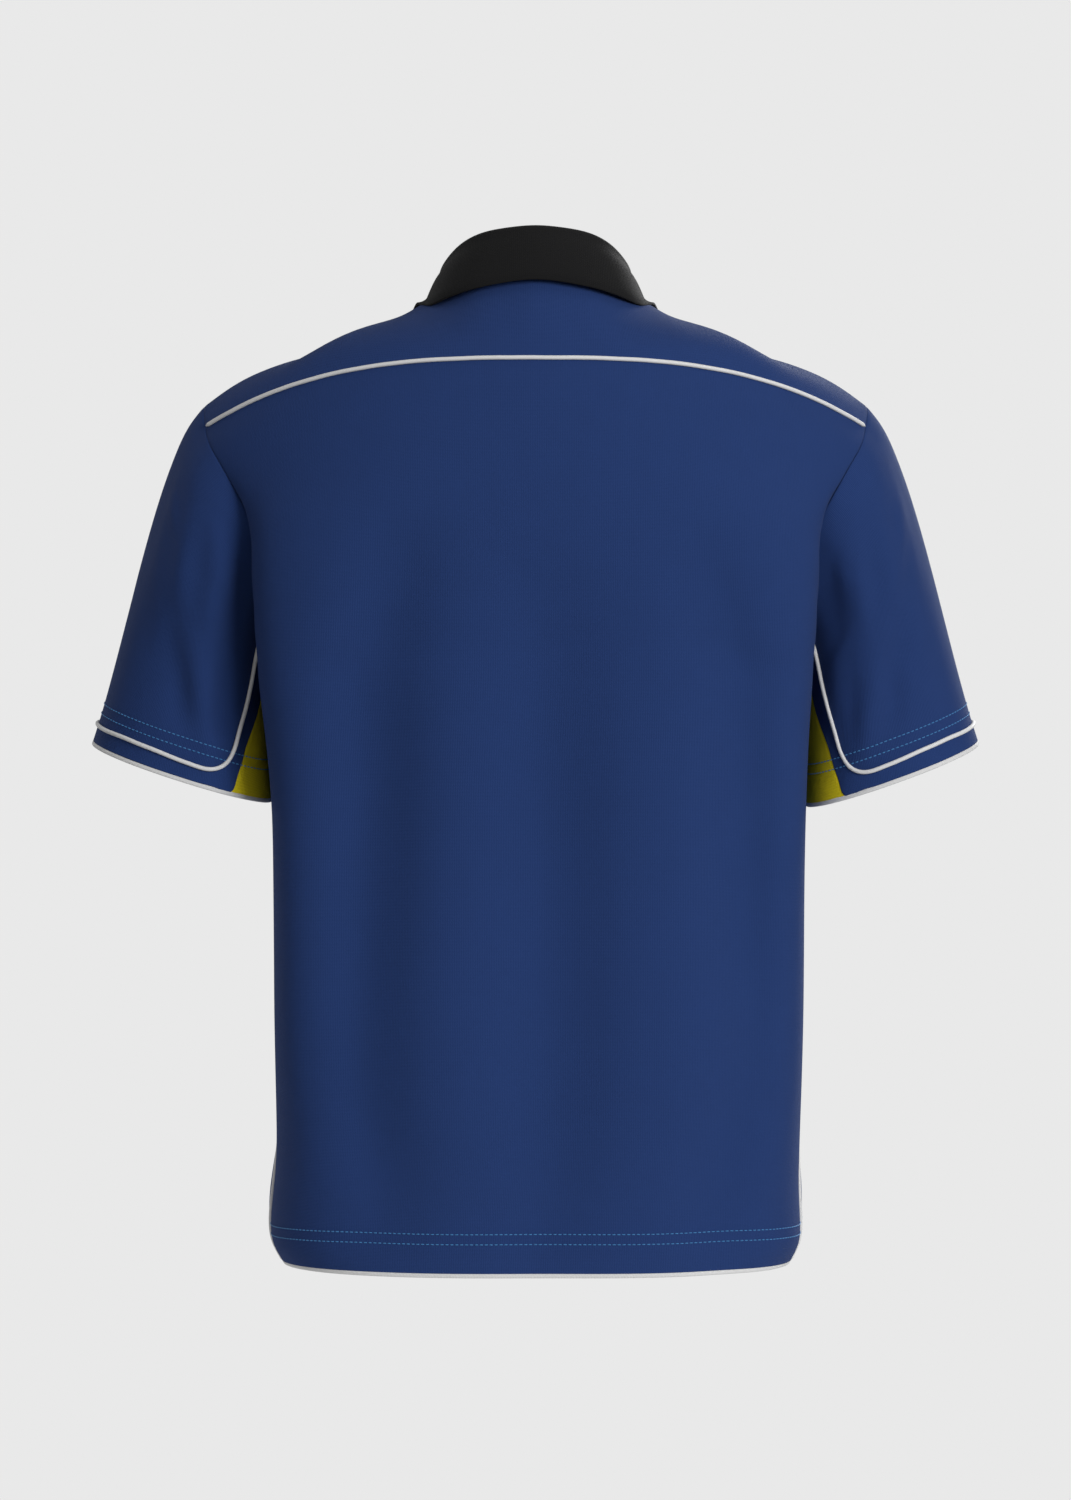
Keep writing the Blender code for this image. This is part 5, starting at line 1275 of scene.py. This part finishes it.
def build_shirt():
    blue = (knit("blue_knit_cloth", BLUE), "blue_knit")
    black = (knit("black_collar_knit", BLACK, 1.5, 1.2, 0.35, sheen=0.05), "black_rib")
    yellow = (knit("yellow_knit_cloth", YELLOW), "yellow_knit")
    white = (tape("white_edging_tape", 1.1, 0.15), "white_piping")
    cord = tape("white_piping_cord", 0.9, 0.06)
    blue_thread = thread("blue_thread", THREAD_BLUE)
    dark_thread = thread("navy_thread", THREAD_NAVY)
    horn = resin("black_resin", BUTTON_COLOUR)

    back = back_grid()
    yoke = yoke_grid(back)
    front = front_grid(yoke)
    grids = dress_body({"back": back, "yoke": yoke, "front": front}, blue)
    body = tree_of(grids.values())
    coarse, normals = placket_grid(front)
    placket = dress_placket(coarse, blue)
    dress_collar(collar_grid(tree_of((back, yoke, front, coarse + normals * PLACKET_WALL))), black)
    add_piping("shirt_yoke_piping", body, back[0], body_middle, cord, "yoke_piping", trim=1)

    low = (grids["back"], grids["front"])
    sew_edge("hem_stitches_{}", body, low, HEM_STITCHES, body_middle, blue_thread)
    above, edge = (np.vstack([low[0][row], low[1][row, -2:0:-1]]) for row in (-3, -1))
    add_edging("shirt_hem_edging", above, edge, from_middle, white, "hem_edging")

    for side, sign in SIDES:
        column = -1 if sign > 0 else 0
        ring = armhole_ring(back, yoke, front, column)
        sleeve, cloth, piping, outward = dress_sleeve(side, sign, ring, (blue, blue, yellow))

        def sleeve_middle(points):
            return np.array([p - outward(p) for p in points])

        add_piping("shirt_sleeve_piping_" + side, cloth,
                   sleeve.surface(piping[PIPING_START:len(piping) - PIPING_START]),
                   sleeve_middle, cord, "sleeve_piping_" + side)
        cuff = sleeve.surface(np.stack(np.meshgrid(
            np.linspace(0.0, 1.0, CUFF_STITCH_PLACES),
            np.linspace(CUFF_STITCH_TOP, 1.0, CUFF_STITCH_ROWS)), axis=2))
        sew_edge(f"cuff_stitches_{{}}_{side}", cloth, [cuff], CUFF_STITCHES, sleeve_middle,
                 blue_thread, easing=2)
        above, edge = sleeve.surface(np.stack(np.meshgrid(
            np.linspace(0.0, 1.0, CUFF_EDGE_PLACES, endpoint=False), (CUFF_EDGE_SHARE, 1.0)),
            axis=2))
        add_edging("shirt_cuff_edging_" + side, above, edge, outward, white,
                   "cuff_edging_" + side)

        seam = back[UNDERARM_BACK_ROW + SIDE_PIPING_START:, column]
        hem_end = seam[-1] + unit(seam[-1] - seam[-2]) * EDGING_HEIGHT
        add_piping("shirt_side_piping_" + side, body, np.vstack([seam, hem_end]), body_middle,
                   cord, "side_piping_" + side)

    face = tree_of((placket,))
    for number in (1, 2, 3):
        node = f"button_{number}"
        centre = np.mean(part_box(node), axis=0) / MM
        spot, normal, _, _ = face.find_nearest(Vector(centre))
        normal = np.array(normal) * (-1.0 if normal.y > 0 else 1.0)
        turn = add_button("shirt_" + node, node, centre, normal, horn)
        add_button_thread(f"button_thread_{number}", centre, turn, dark_thread)
        add_buttonhole(f"buttonhole_{number}", np.array(spot), normal, dark_thread)
    lines = [seat(face, line, STITCH_LIFT, line - forward(line))
             for line in (placket[2:-2, 2], placket[2:-2, -3])]
    add_stitches("placket_stitches", lines, dark_thread,
                 radius=STITCH_RADIUS * PLACKET_STITCH_SHARE)


def set_stage():
    """Camera, lights, pale surroundings and a pale floor below the view."""
    scene = bpy.context.scene
    scene.view_settings.view_transform = "Standard"
    camera_data = bpy.data.cameras.new("camera")
    camera_data.lens = CAMERA_LENS
    camera_data.sensor_width = CAMERA_SENSOR
    camera = bpy.data.objects.new("camera", camera_data)
    camera.location = (0.0, CAMERA_DISTANCE, CAMERA_HEIGHT)
    camera.rotation_euler = (math.radians(90.0), 0.0, math.radians(180.0))
    scene.collection.objects.link(camera)
    scene.camera = camera

    world = bpy.data.worlds.new("studio")
    world.use_nodes = True
    tree = world.node_tree
    ambient = tree.nodes["Background"]
    seen = tree.nodes.new("ShaderNodeBackground")
    for node, colour, strength in ((ambient, 1.0, AMBIENT_STRENGTH), (seen, BACKGROUND, 1.0)):
        node.inputs["Color"].default_value = (colour, colour, colour, 1.0)
        node.inputs["Strength"].default_value = strength
    rays = tree.nodes.new("ShaderNodeLightPath")
    mix = tree.nodes.new("ShaderNodeMixShader")
    outputs = (rays.outputs["Is Camera Ray"], ambient.outputs[0], seen.outputs[0])
    for output, socket in zip(outputs, mix.inputs):
        tree.links.new(output, socket)
    tree.links.new(mix.outputs[0], tree.nodes["World Output"].inputs[0])
    scene.world = world

    for name, *place, size, energy in LIGHTS:
        data = bpy.data.lights.new(name, "AREA")
        data.shape = "DISK"
        data.size = size
        data.energy = energy
        lamp = bpy.data.objects.new(name, data)
        lamp.location = place
        way = Vector(LIGHTS_TARGET) - Vector(place)
        lamp.rotation_euler = way.to_track_quat("-Z", "Y").to_euler()
        scene.collection.objects.link(lamp)

    disc = bmesh.new()
    bmesh.ops.create_circle(disc, cap_ends=True, segments=96, radius=FLOOR_RADIUS)
    floor = new_object("floor", disc)
    floor.location = (0.0, 0.0, FLOOR_HEIGHT)
    paint = Nodes("floor_paint", (BACKGROUND, BACKGROUND, BACKGROUND), 0.9)
    paint.tint((paint.noise(3.0), 0.99, 1.01))
    floor.data.materials.append(paint.material)


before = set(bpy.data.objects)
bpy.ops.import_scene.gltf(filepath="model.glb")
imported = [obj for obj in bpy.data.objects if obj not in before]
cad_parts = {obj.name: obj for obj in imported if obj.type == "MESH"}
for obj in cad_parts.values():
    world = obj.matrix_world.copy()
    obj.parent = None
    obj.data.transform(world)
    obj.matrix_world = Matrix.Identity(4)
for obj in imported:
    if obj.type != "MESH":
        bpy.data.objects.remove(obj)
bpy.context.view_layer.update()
build_shirt()
set_stage()
